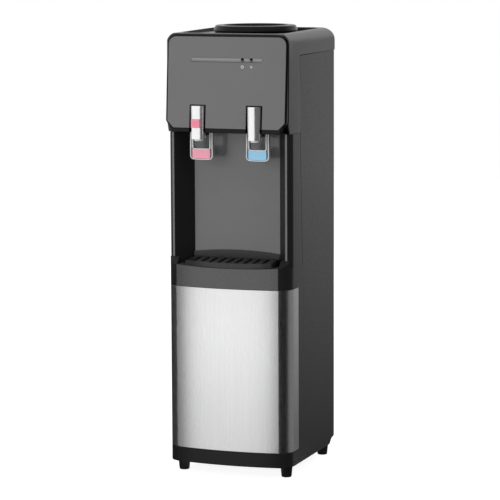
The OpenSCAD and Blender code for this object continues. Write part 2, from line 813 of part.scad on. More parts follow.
// Control board on posts behind the panel, with a relay and a transformer
board_d = 10;
module control_board() {
    left = lamp_x - 30;
    right = lamp_x + lamp_pitch + 40;
    face = board_d + 2;
    color([0.05, 0.3, 0.15]) leaning() {
        box(left, right, board_d, face, strip_w - 30, strip_w + 14);
        box(left + 10, left + 25, face, face + 8, strip_w - 25, strip_w - 10);
        box(right - 35, right - 10, face, face + 10, strip_w - 26, strip_w - 4);
        for (x = [left + 7, right - 7]) rod_y(x, panel_t, board_d + 0.5, strip_w - 20, 3);
    }
}

// Upright plate that the taps' shanks pass through
plate_y = -seam_top - 34;
plate_top = 78;
module tap_plate() {
    x = half_w - wall_t - gap - cheek_in * (-seam_top - 12 - plate_y) / cheek_run;
    color([0.6, 0.6, 0.62]) difference() {
        union() {
            box(-x, x, plate_y, plate_y + shelf_t, head_z + 3.5, head_z + plate_top);
            box(-x, x, plate_y, plate_y + 14, head_z + plate_top - shelf_t, head_z + plate_top);
        }
        for (s = [-1, 1]) rod_y(s * tap_x, plate_y - 5, plate_y + 5, head_z + shank_up, shank_d / 2 + gap);
    }
}

// Ceiling of the cup bay, open round the taps and paddles
module head_chin() {
    x = half_w - 12;
    color([0.1, 0.1, 0.11]) difference() {
        union() {
            box(-x, x, -front_y + 20.5, bay_y + bay_back_t, head_z + gap, head_z + 3);
            box(-x, x, bay_y + bay_back_t - 2, bay_y + bay_back_t, head_z + gap, head_z + 18);
        }
        for (s = [-1, 1]) box(s * tap_x - lever_w / 2 - 1.5, s * tap_x + lever_w / 2 + 1.5,
            -front_y, plate_y + gap, head_z - 5, head_z + 5);
    }
}

// Bottle collar: outer ring and the cone that the bottle's shoulder rests on
module bottle_collar() {
    z = top_z;
    foot_z = z - recess_d + gap;
    color([0.09, 0.09, 0.1]) translate([0, bottle_y, 0]) rotate_extrude($fn = 160) polygon([
        [collar_hole - gap, foot_z - 16], [collar_hole - gap, foot_z], [collar_r - 5.5, foot_z],
        [collar_r, z + 0.5], [collar_top_r, z + collar_up - 2], [collar_top_r - 2, z + collar_up - 1],
        [mouth_r + 2, z + collar_up], [mouth_r, z + collar_up - 1], [mouth_r - 2, z + collar_up - 6],
        [mouth_r - 4, z - 8], [mouth_r - 4, z - 18], [mouth_r - 8, z - 18], [mouth_r - 8, z - 21],
        [mouth_r, z - 21], [mouth_r, foot_z - 4], [collar_hole - 3, foot_z - 4],
        [collar_hole - 3, foot_z - 16]]);
}

// Water guard: funnel and neck bore, with the ledge that carries the feed probe
guard_z = top_z - 18 + gap;
neck_z = top_z - 80;
ledge_w = 4;
module water_guard() {
    color([0.93, 0.93, 0.91]) translate([0, bottle_y, 0]) rotate_extrude($fn = 128) polygon([
        [mouth_r - 4.4, guard_z], [mouth_r - 4.4, guard_z + 3], [mouth_r - 8, guard_z + 3],
        [neck_r + 3, guard_z - 2], [neck_r, guard_z - 6], [neck_r, neck_z], [neck_r - ledge_w, neck_z],
        [neck_r - ledge_w, neck_z - 2], [neck_r + 2, neck_z - 2], [neck_r + 2, guard_z - 7],
        [mouth_r - 8.5, guard_z]]);
}

// Feed probe: the tube that opens the bottle's seal, on four ribs that rest on the guard's ledge
module feed_probe() {
    foot = neck_z + gap;
    color([0.9, 0.9, 0.88]) translate([0, bottle_y, 0]) difference() {
        union() {
            for (a = [45, 135]) rotate([0, 0, a])
                box(-neck_r + 1, neck_r - 1, -1.2, 1.2, foot, foot + 8);
            rotate_extrude($fn = 96) polygon([[0, foot - 3], [probe_r, foot - 3], [probe_r, top_z - 14],
                [probe_r - 2, top_z - 8], [probe_r - 6, top_z - 5], [0, top_z - 4]]);
        }
        cylinder(h = top_z - 18, r = probe_r - 2, $fn = 64);
        for (a = [0, 90]) rotate([0, 0, a]) box(-2.5, 2.5, -20, 20, top_z - 34, top_z - 20);
    }
}

// Heights and depths inside a tap
sleeve_z = head_z - sleeve_drop;
shank_l = 14;
tap_y = tap_back - front_y;
block_y = tap_y + sleeve_r + 0.2;
pivot_z = head_z + pivot_up;
pivot_y = block_y + 5.3;
web_z = sleeve_z + 7.5;
rest_z = pivot_z - 2.3;

// Black block behind the sleeve, with its threaded shank and hose barb
module tap_body(s) {
    x = s * tap_x;
    w = sleeve_r + 1.7;
    color([0.12, 0.12, 0.13]) difference() {
        union() {
            box(x - w, x + w, block_y - 12, plate_y - 0.1, sleeve_z + 7, sleeve_z + sleeve_h - 1);
            rod_y(x, plate_y - 1, plate_y + shank_l, head_z + shank_up, shank_d / 2);
            rod_y(x, plate_y + shank_l - 1, plate_y + shank_l + 12, head_z + shank_up, hose_bore_r - 0.1);
        }
        rod_z(x, tap_y, sleeve_z - 1, sleeve_z + sleeve_h + 1, sleeve_r + 0.15);
        rod_x(x - w - 1, x + w + 1, pivot_y, pivot_z, pivot_d / 2 + run);
        box(x - 3.4, x + 3.4, block_y - 14, pivot_y + 5, pivot_z - 12, pivot_z + 6);
        rod_y(x, block_y - 14, plate_y + 40, head_z + shank_up, 1.8);
    }
}
module hot_tap_body() { tap_body(-1); }
module cold_tap_body() { tap_body(1); }

// Bright round sleeve, closed on top, slotted at the back for the lever's tongue
module tap_sleeve(s) {
    x = s * tap_x;
    difference() {
        rod_z(x, tap_y, sleeve_z, sleeve_z + sleeve_h, sleeve_r);
        rod_z(x, tap_y, sleeve_z - 1, sleeve_z + sleeve_h - 2.5, sleeve_r - sleeve_wall);
        box(x - 3.4, x + 3.4, tap_y, block_y + 5, pivot_z - 12, pivot_z + 6);
        rod_y(x, tap_y, block_y + 5, head_z + shank_up, 2);
        if (s < 0) box(x - lock_w / 2 - gap, x + lock_w / 2 + gap, tap_y - sleeve_r - 1, tap_y - 6,
            lock_z - gap, lock_z + lock_h + gap);
    }
}
lock_z = head_z + 11.5;
module hot_tap_sleeve() { color([0.75, 0.75, 0.76]) tap_sleeve(-1); }
module cold_tap_sleeve() { color([0.75, 0.75, 0.76]) tap_sleeve(1); }

// Spout insert with the web that the valve closes against
module spout(s) {
    color([0.95, 0.95, 0.94]) difference() {
        union() {
            rod_z(s * tap_x, tap_y, sleeve_z + 1, sleeve_z + 12, sleeve_r - sleeve_wall - 0.1);
            rod_z(s * tap_x, tap_y, sleeve_z - spout_l, sleeve_z + 2, spout_r);
        }
        rod_z(s * tap_x, tap_y, sleeve_z - spout_l - 1, web_z, spout_r - 1.6);
        rod_z(s * tap_x, tap_y, sleeve_z, sleeve_z + 15, 3);
        rod_z(s * tap_x, tap_y, web_z + 2.5, sleeve_z + 15, spout_r + 2);
    }
}
module hot_spout() { spout(-1); }
module cold_spout() { spout(1); }

// Valve plunger: seal below the web, stem through it, and a head under the lever's tongue
module plunger(s) {
    color([0.85, 0.85, 0.82]) {
        rod_z(s * tap_x, tap_y, web_z - gap - 2.5, web_z - gap, spout_r - 2.4);
        rod_z(s * tap_x, tap_y, web_z - gap - 0.5, rest_z, 2.6);
        rod_z(s * tap_x, tap_y, rest_z - 3, rest_z, 6.5);
    }
}
module hot_plunger() { plunger(-1); }
module cold_plunger() { plunger(1); }

// Compression spring under the plunger's head
module valve_spring(s) {
    color([0.7, 0.7, 0.72]) difference() {
        rod_z(s * tap_x, tap_y, web_z + 2.5 + gap, rest_z - 3 - gap, 5.4);
        rod_z(s * tap_x, tap_y, web_z, rest_z, 4.2);
    }
}
module hot_valve_spring() { valve_spring(-1); }
module cold_valve_spring() { valve_spring(1); }

// Paddle lever: two arms, a crossbar, the pivot pin and the tongue that pushes the valve
module lever(s) {
    x = s * tap_x;
    low = pivot_z - lever_l;
    front = pivot_y - arm_d / 2;
    back = front + arm_d;
    half = lever_w / 2;
    color([0.85, 0.86, 0.87]) difference() {
        union() {
            for (m = [-1, 1]) {
                box(m > 0 ? x + half - arm_t : x - half, m > 0 ? x + half : x - half + arm_t,
                    front, back, low + 8, pivot_z);
                rod_x(m > 0 ? x + half - arm_t : x - half, m > 0 ? x + half : x - half + arm_t,
                    pivot_y, pivot_z, arm_d / 2);
                rod_y(x + m * (half - 8), front, back, low + 8, 8);
            }
            box(x - half + 8, x + half - 8, front, back, low, low + plate_h + 2.4);
            box(x - half + 1, x + half - 1, front + 4, back, low + 8, low + plate_h + 2.4);
            rod_x(x - half, x + half, pivot_y, pivot_z, pivot_d / 2);
            rod_x(x - 2.8, x + 2.8, pivot_y, pivot_z, 4.6);
            box(x - 2.8, x + 2.8, tap_y - 4, pivot_y, rest_z + gap, rest_z + 4);
        }
        box(x - plate_w / 2 - 0.1, x + plate_w / 2 + 0.1, front - 1, front + 3, low + 1.2,
            low + plate_h + 1.4);
    }
}
module hot_lever() { lever(-1); }
module cold_lever() { lever(1); }

// Coloured plate let into the paddle's front
module lever_plate(s) {
    x = s * tap_x;
    low = pivot_z - lever_l;
    front = pivot_y - arm_d / 2;
    box(x - plate_w / 2, x + plate_w / 2, front + 0.2, front + 2.95, low + 1.3, low + 1.3 + plate_h);
}
module hot_lever_plate() { color([0.97, 0.62, 0.68]) lever_plate(-1); }
module cold_lever_plate() { color([0.55, 0.8, 0.93]) lever_plate(1); }

// Push button of the child lock on the hot tap's sleeve
module child_lock_button() {
    x = -tap_x;
    face = tap_y - sleeve_r - 2.5;
    color([0.9, 0.45, 0.52]) difference() {
        box(x - lock_w / 2, x + lock_w / 2, face, tap_y - 9.5, lock_z, lock_z + lock_h);
        for (i = [0:2]) box(x - lock_w / 2 + 4, x + lock_w / 2 - 4, face - 1, face + 0.6,
            lock_z + 5 + i * 3, lock_z + 6.2 + i * 3);
    }
}

// Hexagon nuts that clamp the taps to their plate
module tap_nuts() {
    color([0.85, 0.85, 0.85]) for (s = [-1, 1]) difference() {
        translate([s * tap_x, plate_y + 2 + 0.1, head_z + shank_up]) rotate([-90, 0, 0])
            cylinder(h = 7, r = shank_d / 2 + 5.5, $fn = 6);
        rod_y(s * tap_x, plate_y, plate_y + 12, head_z + shank_up, shank_d / 2 + run);
    }
}

// Levels of the tanks and the shelves that carry them
cold_z = top_z - 84 - cold_h;
foam_z = cold_z - 16;
shelf_t = 2;
upper_shelf_z = foam_z - gap - shelf_t;
hot_z = upper_shelf_z - 41 - hot_h;
jacket_foot = 14;
jacket_top = 12;
lower_shelf_z = hot_z - jacket_foot - gap - shelf_t;
hot_x = -tap_x;
hot_y = 20;
inlet_x = hot_x + 14;
feed_x = 10;
feed_y = 20;
cold_out_y = bottle_y - 4.5;

// Stainless cold tank with two stubs below
module cold_tank() {
    color([0.8, 0.8, 0.82]) difference() {
        union() {
            rod_z(0, bottle_y, cold_z, cold_z + cold_h, cold_r);
            rod_z(tap_x, cold_out_y, foam_z - 19, cold_z + 1, hose_bore_r - 0.1);
            rod_z(feed_x, feed_y, foam_z - 19, cold_z + 1, hose_bore_r - 0.1);
        }
        rod_z(0, bottle_y, cold_z + 1, cold_z + cold_h + 1, cold_r - 1);
        rod_z(tap_x, cold_out_y, foam_z - 20, cold_z + 5, 2);
        rod_z(feed_x, feed_y, foam_z - 20, cold_z + 5, 2);
    }
}

// Foam shell round the cold tank
module cold_tank_foam() {
    color([0.95, 0.95, 0.95]) difference() {
        rod_z(0, bottle_y, foam_z, cold_z + cold_h, foam_r);
        rod_z(0, bottle_y, cold_z - gap, cold_z + cold_h + 1, coil_path_r + coil_r + gap);
        rod_z(tap_x, cold_out_y, foam_z - 1, cold_z + 5, hose_bore_r + gap);
        rod_z(feed_x, feed_y, foam_z - 1, cold_z + 5, hose_bore_r + gap);
    }
}

// Copper evaporator wound round the lower part of the cold tank
coil_steps = 24;
coil_sides = 6;
coil_pitch = 9;
coil_path_r = (cold_r + gap) / cos(180 / coil_steps) + coil_r;
module evaporator_coil() {
    n = coil_n * coil_steps;
    rings = [for (i = [0:n]) let (a = 360 * i / coil_steps, z = cold_z + 12 + coil_pitch * i / coil_steps)
        [for (k = [0:coil_sides - 1]) let (b = 360 * k / coil_sides, r = coil_path_r + coil_r * cos(b))
            [r * cos(a), r * sin(a), z + coil_r * sin(b)]]];
    points = [for (ring = rings, p = ring) p];
    sides = [for (i = [0:n - 1], k = [0:coil_sides - 1], h = [0, 1])
        let (a = i * coil_sides + k, b = i * coil_sides + (k + 1) % coil_sides)
        h == 0 ? [a, a + coil_sides, b] : [b, a + coil_sides, b + coil_sides]];
    caps = [for (k = [1:coil_sides - 2], h = [0, 1]) let (e = n * coil_sides)
        h == 0 ? [0, k, k + 1] : [e, e + k + 1, e + k]];
    color([0.75, 0.45, 0.3]) translate([0, bottle_y, 0]) polyhedron(concat(points), concat(sides, caps));
}

// Lid of the cold tank, with the hole for the water guard
module reservoir_lid() {
    z = cold_z + cold_h + gap;
    color([0.92, 0.92, 0.9]) difference() {
        union() {
            rod_z(0, bottle_y, z, z + 8, foam_r);
            rod_z(0, bottle_y, z - 6, z + 1, cold_r - 1.5);
        }
        rod_z(0, bottle_y, z - 7, z + 9, neck_r + 2.5);
        rod_z(0, bottle_y, z - 7, z - 0.5, cold_r - 4);
    }
}

// Stainless hot tank with an outlet on top and two stubs below
module hot_tank() {
    color([0.8, 0.8, 0.82]) difference() {
        union() {
            rod_z(hot_x, hot_y, hot_z, hot_z + hot_h, hot_r);
            rod_z(hot_x, hot_y, hot_z + hot_h - 1, hot_z + hot_h + 16, hose_bore_r - 0.1);
            for (x = [inlet_x, drain_x]) rod_z(x, hot_y, hot_z - 34, hot_z + 1, hose_bore_r - 0.1);
        }
        rod_z(hot_x, hot_y, hot_z + 1, hot_z + hot_h - 1, hot_r - 1);
        rod_z(hot_x, hot_y, hot_z + hot_h - 5, hot_z + hot_h + 21, 2);
        for (x = [inlet_x, drain_x]) rod_z(x, hot_y, hot_z - 35, hot_z + 5, 2);
    }
}

// Insulating jacket of the hot tank
module hot_tank_jacket() {
    color([0.9, 0.9, 0.86]) difference() {
        rod_z(hot_x, hot_y, hot_z - jacket_foot, hot_z + hot_h + jacket_top, jacket_r);
        rod_z(hot_x, hot_y, hot_z - gap, hot_z + hot_h + 8, hot_r + 4);
        rod_z(hot_x, hot_y, hot_z + hot_h, hot_z + hot_h + jacket_top + 1, hose_bore_r + gap);
        for (x = [inlet_x, drain_x])
            rod_z(x, hot_y, hot_z - jacket_foot - 1, hot_z + 5, hose_bore_r + gap);
    }
}

// Clamped heater band and the two thermal cut-outs on the tank's top
module heater_band() {
    color([0.7, 0.6, 0.4]) {
        difference() {
            rod_z(hot_x, hot_y, hot_z + 30, hot_z + 70, hot_r + 3.4);
            rod_z(hot_x, hot_y, hot_z + 29, hot_z + 71, hot_r + gap);
        }
        for (y = [-22, 22]) rod_z(hot_x, hot_y + y, hot_z + hot_h + gap, hot_z + hot_h + 6.5, 8);
    }
}

// Folded steel shelves that carry the two tanks
shelf_flange = 14;
module shelf(z) {
    x = half_w - sheet_t - gap;
    front = -seam_foot + gap;
    box(-bay_x + gap, bay_x - gap, bay_y + rib_d + gap, front + 1, z, z + shelf_t);
    box(-x, x, front, inner_y - gap, z, z + shelf_t);
    for (s = [-1, 1]) box(s > 0 ? x - shelf_t : -x, s > 0 ? x : -x + shelf_t, front, inner_y - gap,
        z - shelf_flange, z + 1);
}
module tank_shelves() {
    r = hose_r + 2;
    color([0.62, 0.63, 0.65]) {
        difference() {
            shelf(upper_shelf_z);
            for (s = [-1, 1]) rod_z(s * tap_x, riser_y, upper_shelf_z - 20, upper_shelf_z + 9, r);
            rod_z(tap_x, cold_out_y, upper_shelf_z - 1, upper_shelf_z + 9, hose_bore_r + gap);
            rod_z(feed_x, feed_y, upper_shelf_z - 1, upper_shelf_z + 9, hose_bore_r + gap);
            rod_z(suction_x, suction_y, upper_shelf_z - 1, upper_shelf_z + 9, line_r + gap);
        }
        difference() {
            shelf(lower_shelf_z);
            for (x = [inlet_x, drain_x])
                rod_z(x, hot_y, lower_shelf_z - 1, lower_shelf_z + 9, hose_bore_r + gap);
            rod_z(feed_x, feed_y, lower_shelf_z - 1, lower_shelf_z + 9, r);
            rod_z(suction_x, suction_y, lower_shelf_z - 1, lower_shelf_z + 9, line_r + 1);
        }
    }
}

riser_y = bay_y + 17.5;
run_z = foam_z - 34;
hot_run_z = hot_z + hot_h + 29;

// Quarter bend from a centre, in the Y-Z plane: q is the quadrant of the bend, 0 to 3
module elbow(x, y, z, q) {
    translate([x, y, z]) rotate([0, 0, 90]) rotate([90, 0, 0]) rotate([0, 0, 90 * q])
        rotate_extrude(angle = 90, $fn = 64) translate([hose_bend, 0]) difference() {
            circle(r = hose_r, $fn = 48);
            circle(r = hose_bore_r, $fn = 48);
        }
}
module tube_y(x, y0, y1, z) {
    difference() {
        rod_y(x, y0, y1, z, hose_r);
        rod_y(x, y0 - 1, y1 + 1, z, hose_bore_r);
    }
}
module tube_x(x0, x1, y, z) {
    difference() {
        rod_x(x0, x1, y, z, hose_r);
        rod_x(x0 - 1, x1 + 1, y, z, hose_bore_r);
    }
}
module tube_z(x, y, z0, z1) {
    difference() {
        rod_z(x, y, z0, z1, hose_r);
        rod_z(x, y, z0 - 1, z1 + 1, hose_bore_r);
    }
}

// Hoses: cold tank to cold tap, hot tank to hot tap, feed between the tanks, and the drain
module water_hoses() {
    b = hose_bend;
    tap_z = head_z + shank_up;
    barb_y = plate_y + shank_l + gap;
    color([0.88, 0.88, 0.84]) {
        // to the cold tap
        tube_z(tap_x, cold_out_y, run_z + b, foam_z - 3 - gap);
        elbow(tap_x, cold_out_y - b, run_z + b, 3);
        tube_y(tap_x, riser_y + b, cold_out_y - b, run_z);
        elbow(tap_x, riser_y + b, run_z + b, 2);
        tube_z(tap_x, riser_y, run_z + b, tap_z - b);
        elbow(tap_x, riser_y - b, tap_z - b, 0);
        tube_y(tap_x, barb_y, riser_y - b, tap_z);
        // to the hot tap
        tube_z(-tap_x, hot_y, hot_z + hot_h + jacket_top + gap, hot_run_z - b);
        elbow(-tap_x, hot_y - b, hot_run_z - b, 0);
        tube_y(-tap_x, riser_y + b, hot_y - b, hot_run_z);
        elbow(-tap_x, riser_y + b, hot_run_z + b, 2);
        tube_z(-tap_x, riser_y, hot_run_z + b, tap_z - b);
        elbow(-tap_x, riser_y - b, tap_z - b, 0);
        tube_y(-tap_x, barb_y, riser_y - b, tap_z);
        // feed from the cold tank to the foot of the hot tank
        tube_z(feed_x, feed_y, feed_low + b, foam_z - 3 - gap);
        translate([feed_x - b, feed_y, feed_low + b]) rotate([0, 0, -90]) elbow(0, 0, 0, 3);
        tube_x(inlet_x + b, feed_x - b, feed_y, feed_low);
        translate([inlet_x + b, feed_y, feed_low + b]) rotate([0, 0, -90]) elbow(0, 0, 0, 2);
        tube_z(inlet_x, feed_y, feed_low + b, lower_shelf_z - gap);
        // drain to the rear
        tube_z(drain_x, hot_y, drain_z + b, lower_shelf_z - gap);
        elbow(drain_x, hot_y + b, drain_z + b, 2);
        tube_y(drain_x, hot_y + b, inner_y - 6, drain_z);
    }
}
feed_low = lower_shelf_z - 44;

// Drain spout through the rear panel
module drain_spout() {
    color([0.9, 0.9, 0.88]) difference() {
        union() {
            rod_y(drain_x, inner_y - 16, inner_y - 3, drain_z, hose_bore_r - 0.1);
            rod_y(drain_x, inner_y - 4, inner_y - gap, drain_z, 12);
            rod_y(drain_x, inner_y - 1, inner_y + 12, drain_z, 8);
        }
        rod_y(drain_x, inner_y - 17, inner_y + 13, drain_z, 2);
    }
}

// Screw cap of the drain, with grip ribs
module drain_cap() {
    y0 = inner_y + sheet_t + gap;
    color([0.93, 0.93, 0.92]) difference() {
        union() {
            rod_y(drain_x, y0, y0 + 16, drain_z, cap_r);
            for (a = [0:30:330]) translate([drain_x, y0, drain_z]) rotate([0, a, 0])
                box(-1.2, 1.2, 0, 15, cap_r - 2, cap_r + 1);
        }
        rod_y(drain_x, y0 - 1, y0 + 12.5, drain_z, 8 + run);
    }
}

// Plate that holds the two rear rocker switches
module switch_plate() {
    y = inner_y + sheet_t + gap;
    color([0.1, 0.1, 0.1]) difference() {
        union() {
            box(switch_x - 28, switch_x + 28, y, y + 2, switch_z - 15, switch_z + 15);
            box(switch_x - 23.7, switch_x + 23.7, y - 12, y + 1, switch_z - 10.7, switch_z + 10.7);
        }
        for (s = [-1, 1]) {
            box(switch_x + s * 12 - rocker_w / 2 - gap, switch_x + s * 12 + rocker_w / 2 + gap,
                y - 10, y + 5, switch_z - 9.3, switch_z + 9.3);
            rod_x(switch_x + s * 12 - rocker_w / 2 - 2, switch_x + s * 12 + rocker_w / 2 + 2,
                y - 2, switch_z, 1.2 + run);
        }
    }
}

// Rocker that turns on its own pins, at rest tipped to its lower side
rocker_tilt = 8;
module rocker(s) {
    y = inner_y + sheet_t + gap - 2;
    translate([switch_x + s * 12, y, switch_z]) rotate([-rocker_tilt, 0, 0]) {
        intersection() {
            rotate([0, 90, 0]) translate([0, 0, -rocker_w / 2]) cylinder(h = rocker_w, r = 8.8, $fn = 64);
            side_cut([[-5, -6], [-5, 6], [4.5, 9], [5.8, 8], [4.2, 0], [5.8, -8], [4.5, -9]],
                -rocker_w / 2, rocker_w / 2);
        }
        rod_x(-rocker_w / 2 - 1.8, rocker_w / 2 + 1.8, 0, 0, 1.2);
    }
}
module hot_switch() { color([0.8, 0.12, 0.1]) rocker(-1); }
module cold_switch() { color([0.1, 0.5, 0.2]) rocker(1); }

// Gland in the rear panel for the supply cord
module cord_gland() {
    color([0.08, 0.08, 0.08]) difference() {
        union() {
            rod_y(gland_x, inner_y - 8, inner_y + sheet_t + gap + 0.5, gland_z, 8);
            rod_y(gland_x, inner_y + sheet_t + gap, inner_y + sheet_t + 6, gland_z, 10.5);
        }
        rod_y(gland_x, inner_y - 9, inner_y + 9, gland_z, 3.6);
    }
}

can_y = inner_y - can_r - 12;
can_z = foot_h + 21;
suction_x = 30;
suction_y = can_y + 12;
cond_z = rear_z + 175;
cond_y = inner_y + 12;

// Hermetic compressor: welded can, mounting plate, tube stubs and terminal cover
module compressor() {
    c = can_z + 6;
    top = c + can_h;
    color([0.09, 0.09, 0.1]) difference() {
        union() {
            translate([0, can_y, 0]) rotate_extrude($fn = 128) polygon(concat([[0, c]], [[can_r - 22, c]],
                arc(can_r - 15, c + 15, 15, -90, 0, 5), [[can_r, c + can_h * 0.55],
                [can_r + 2, c + can_h * 0.55], [can_r + 2, c + can_h * 0.6],
                [can_r - 1, c + can_h * 0.6]], arc(can_r - 31, top - 30, 30, 0, 90, 6), [[0, top]]));
            box(-75, 75, can_y - 48, can_y + 48, can_z, can_z + 3);
            rod_z(suction_x, suction_y, top - 12, top + 12, line_r);
            rod_z(-20, can_y - 16, top - 6, top + 12, line_r);
            rod_y(0, can_y - can_r - 14, can_y - can_r + 10, c + 55, 18);
            rod_z(0, can_y, can_z + 1, c + 2, 30);
        }
        rod_z(0, can_y, c + 20, top - 20, can_r - 14);
        for (x = [-62, 62], y = [can_y - 38, can_y + 38]) rod_z(x, y, can_z - 1, can_z + 5, 6.5);
    }
}

// Rubber grommets under the compressor's plate
module compressor_grommets() {
    color([0.05, 0.05, 0.05]) for (x = [-62, 62], y = [can_y - 38, can_y + 38]) difference() {
        union() {
            rod_z(x, y, foot_h + 4 + gap, can_z - gap, 10);
            rod_z(x, y, can_z - 1, can_z + 5, 6.3);
        }
        rod_z(x, y, foot_h, can_z + 6, 3.2);
    }
}

// Bent round rod about the Z axis, of bend radius rb
module quarter(rb, r, turn) {
    rotate_extrude(angle = turn, $fn = 64) translate([rb, 0]) circle(r = r, $fn = 32);
}

// Wire-on-tube condenser in the rear recess
module condenser() {
    z_top = cond_z + (cond_n - 1) * cond_pitch;
    color([0.07, 0.07, 0.08]) {
        for (i = [0:cond_n - 1]) rod_x(-cond_x, cond_x, cond_y, cond_z + i * cond_pitch, cond_r);
        for (i = [0:cond_n - 2]) translate([(i % 2 == 0 ? -1 : 1) * cond_x, cond_y,
            cond_z + (i + 0.5) * cond_pitch]) rotate([90, 0, 0]) rotate([0, 0, i % 2 == 0 ? 90 : -90])
            quarter(cond_pitch / 2, cond_r, 180);
        translate([cond_x, cond_y - 12, cond_z]) quarter(12, cond_r, 90);
        rod_y(cond_x + 12, inner_y - 14, cond_y - 12, cond_z, cond_r);
        for (x = [-cond_x + 6:wire_pitch:cond_x - 5]) rod_z(x, cond_y + cond_r + wire_r + 0.05,
            cond_z - 10, z_top + 10, wire_r);
        for (s = [-1, 1]) box(s * (cond_x - 2) - 4, s * (cond_x - 2) + 4, inner_y + sheet_t + gap,
            cond_y - cond_r - 0.05, z_top - 40 - 4, z_top - 40 + 4);
        for (s = [-1, 1]) box(s * (cond_x - 2) - 4, s * (cond_x - 2) + 4, inner_y + sheet_t + gap,
            cond_y - cond_r - 0.05, cond_z + 40 - 4, cond_z + 40 + 4);
    }
}

// Copper lines: suction from the evaporator and discharge to the condenser
module refrigerant_lines() {
    top = can_z + 6 + can_h + 12 + gap;
    color([0.75, 0.45, 0.3]) {
        rod_z(suction_x, suction_y, top, foam_z - gap, line_r);
        rod_z(-20, can_y - 16, top, top + 40, line_r);
        translate([-8, can_y - 16, top + 40]) rotate([90, 0, 0]) rotate([0, 0, 90])
            quarter(12, line_r, 90);
        rod_x(-8, cond_x, can_y - 16, top + 52, line_r);
        translate([cond_x, can_y - 16, top + 64]) rotate([90, 0, 0]) rotate([0, 0, 270])
            quarter(12, line_r, 90);
        rod_z(cond_x + 12, can_y - 16, top + 64, cond_z - 12, line_r);
        translate([cond_x + 12, can_y - 4, cond_z - 12]) rotate([0, 0, 90]) rotate([90, 0, 0])
            rotate([0, 0, 90]) quarter(12, line_r, 90);
        rod_y(cond_x + 12, can_y - 4, inner_y - 14 - gap, cond_z, line_r);
    }
}

// Pan-head screws that hold the rear sheets to the side panels
module rear_screws() {
    color([0.7, 0.7, 0.72]) for (s = [-1, 1], z = screw_z) {
        rod_y(s * screw_x, rear_y - 8, rear_y + 0.5, z, 1.9);
        rod_y(s * screw_x, rear_y + gap, rear_y + 2.2, z, 3.6);
    }
}

front_frame();
steel_panel();
tray_housing();
drip_tray();
drip_grate();
bay_back();
column_trims();
side_panel_left();
side_panel_right();
rear_panel();
rear_grille();
base_pan();
feet();
top_cover();
head_bezel();
head_panel();
indicator_strip();
indicator_lamps();
control_board();
tap_plate();
head_chin();
bottle_collar();
water_guard();
feed_probe();
hot_tap_body();
cold_tap_body();
hot_tap_sleeve();
cold_tap_sleeve();
hot_spout();
cold_spout();
hot_plunger();
cold_plunger();
hot_valve_spring();
cold_valve_spring();
hot_lever();
cold_lever();
hot_lever_plate();
cold_lever_plate();
child_lock_button();
tap_nuts();
cold_tank();
cold_tank_foam();
evaporator_coil();
reservoir_lid();
hot_tank();
hot_tank_jacket();
heater_band();
tank_shelves();
compressor();
compressor_grommets();
condenser();
refrigerant_lines();
water_hoses();
drain_spout();
drain_cap();
switch_plate();
hot_switch();
cold_switch();
cord_gland();
rear_screws();
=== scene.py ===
"""Top load water cooler: the looks of a slim floor-standing cooler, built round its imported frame.

The frame gives every piece its place in metres: +X is to the right, the front faces -Y, and the feet
stand on Z = 0. Each operator below dresses one piece or one group of like pieces, and the panel in the
3D view's sidebar lists them.
"""
import json
import math

import bmesh
import bpy
import numpy as np
from mathutils import Matrix, Vector

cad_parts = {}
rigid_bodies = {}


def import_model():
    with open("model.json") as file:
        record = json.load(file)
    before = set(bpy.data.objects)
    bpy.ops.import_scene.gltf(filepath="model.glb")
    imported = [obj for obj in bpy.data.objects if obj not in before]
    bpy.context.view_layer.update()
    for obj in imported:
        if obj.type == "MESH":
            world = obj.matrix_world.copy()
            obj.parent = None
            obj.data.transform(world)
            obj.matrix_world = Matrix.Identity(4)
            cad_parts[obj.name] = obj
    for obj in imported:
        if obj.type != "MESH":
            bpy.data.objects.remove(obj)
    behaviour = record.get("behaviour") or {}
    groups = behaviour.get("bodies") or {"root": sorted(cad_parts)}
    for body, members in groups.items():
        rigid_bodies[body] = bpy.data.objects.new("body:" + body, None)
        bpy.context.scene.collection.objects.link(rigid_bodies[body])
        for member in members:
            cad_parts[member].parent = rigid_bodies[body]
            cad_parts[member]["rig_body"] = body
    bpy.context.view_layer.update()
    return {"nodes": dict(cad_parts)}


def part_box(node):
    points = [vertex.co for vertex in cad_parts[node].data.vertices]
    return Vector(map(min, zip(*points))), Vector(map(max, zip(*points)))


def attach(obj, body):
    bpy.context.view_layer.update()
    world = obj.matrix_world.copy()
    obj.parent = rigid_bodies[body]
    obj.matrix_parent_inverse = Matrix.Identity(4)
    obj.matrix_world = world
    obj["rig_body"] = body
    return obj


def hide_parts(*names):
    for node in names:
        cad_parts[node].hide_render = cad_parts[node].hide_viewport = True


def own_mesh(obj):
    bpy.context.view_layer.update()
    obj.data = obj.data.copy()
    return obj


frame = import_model()

bl_info = {
    "name": "Top load water cooler",
    "version": (1, 0, 0),
    "blender": (4, 5, 0),
    "location": "View3D > Sidebar > Cooler",
    "description": "Dresses the frame of a floor-standing water cooler",
    "category": "Object",
}

MM = 0.001


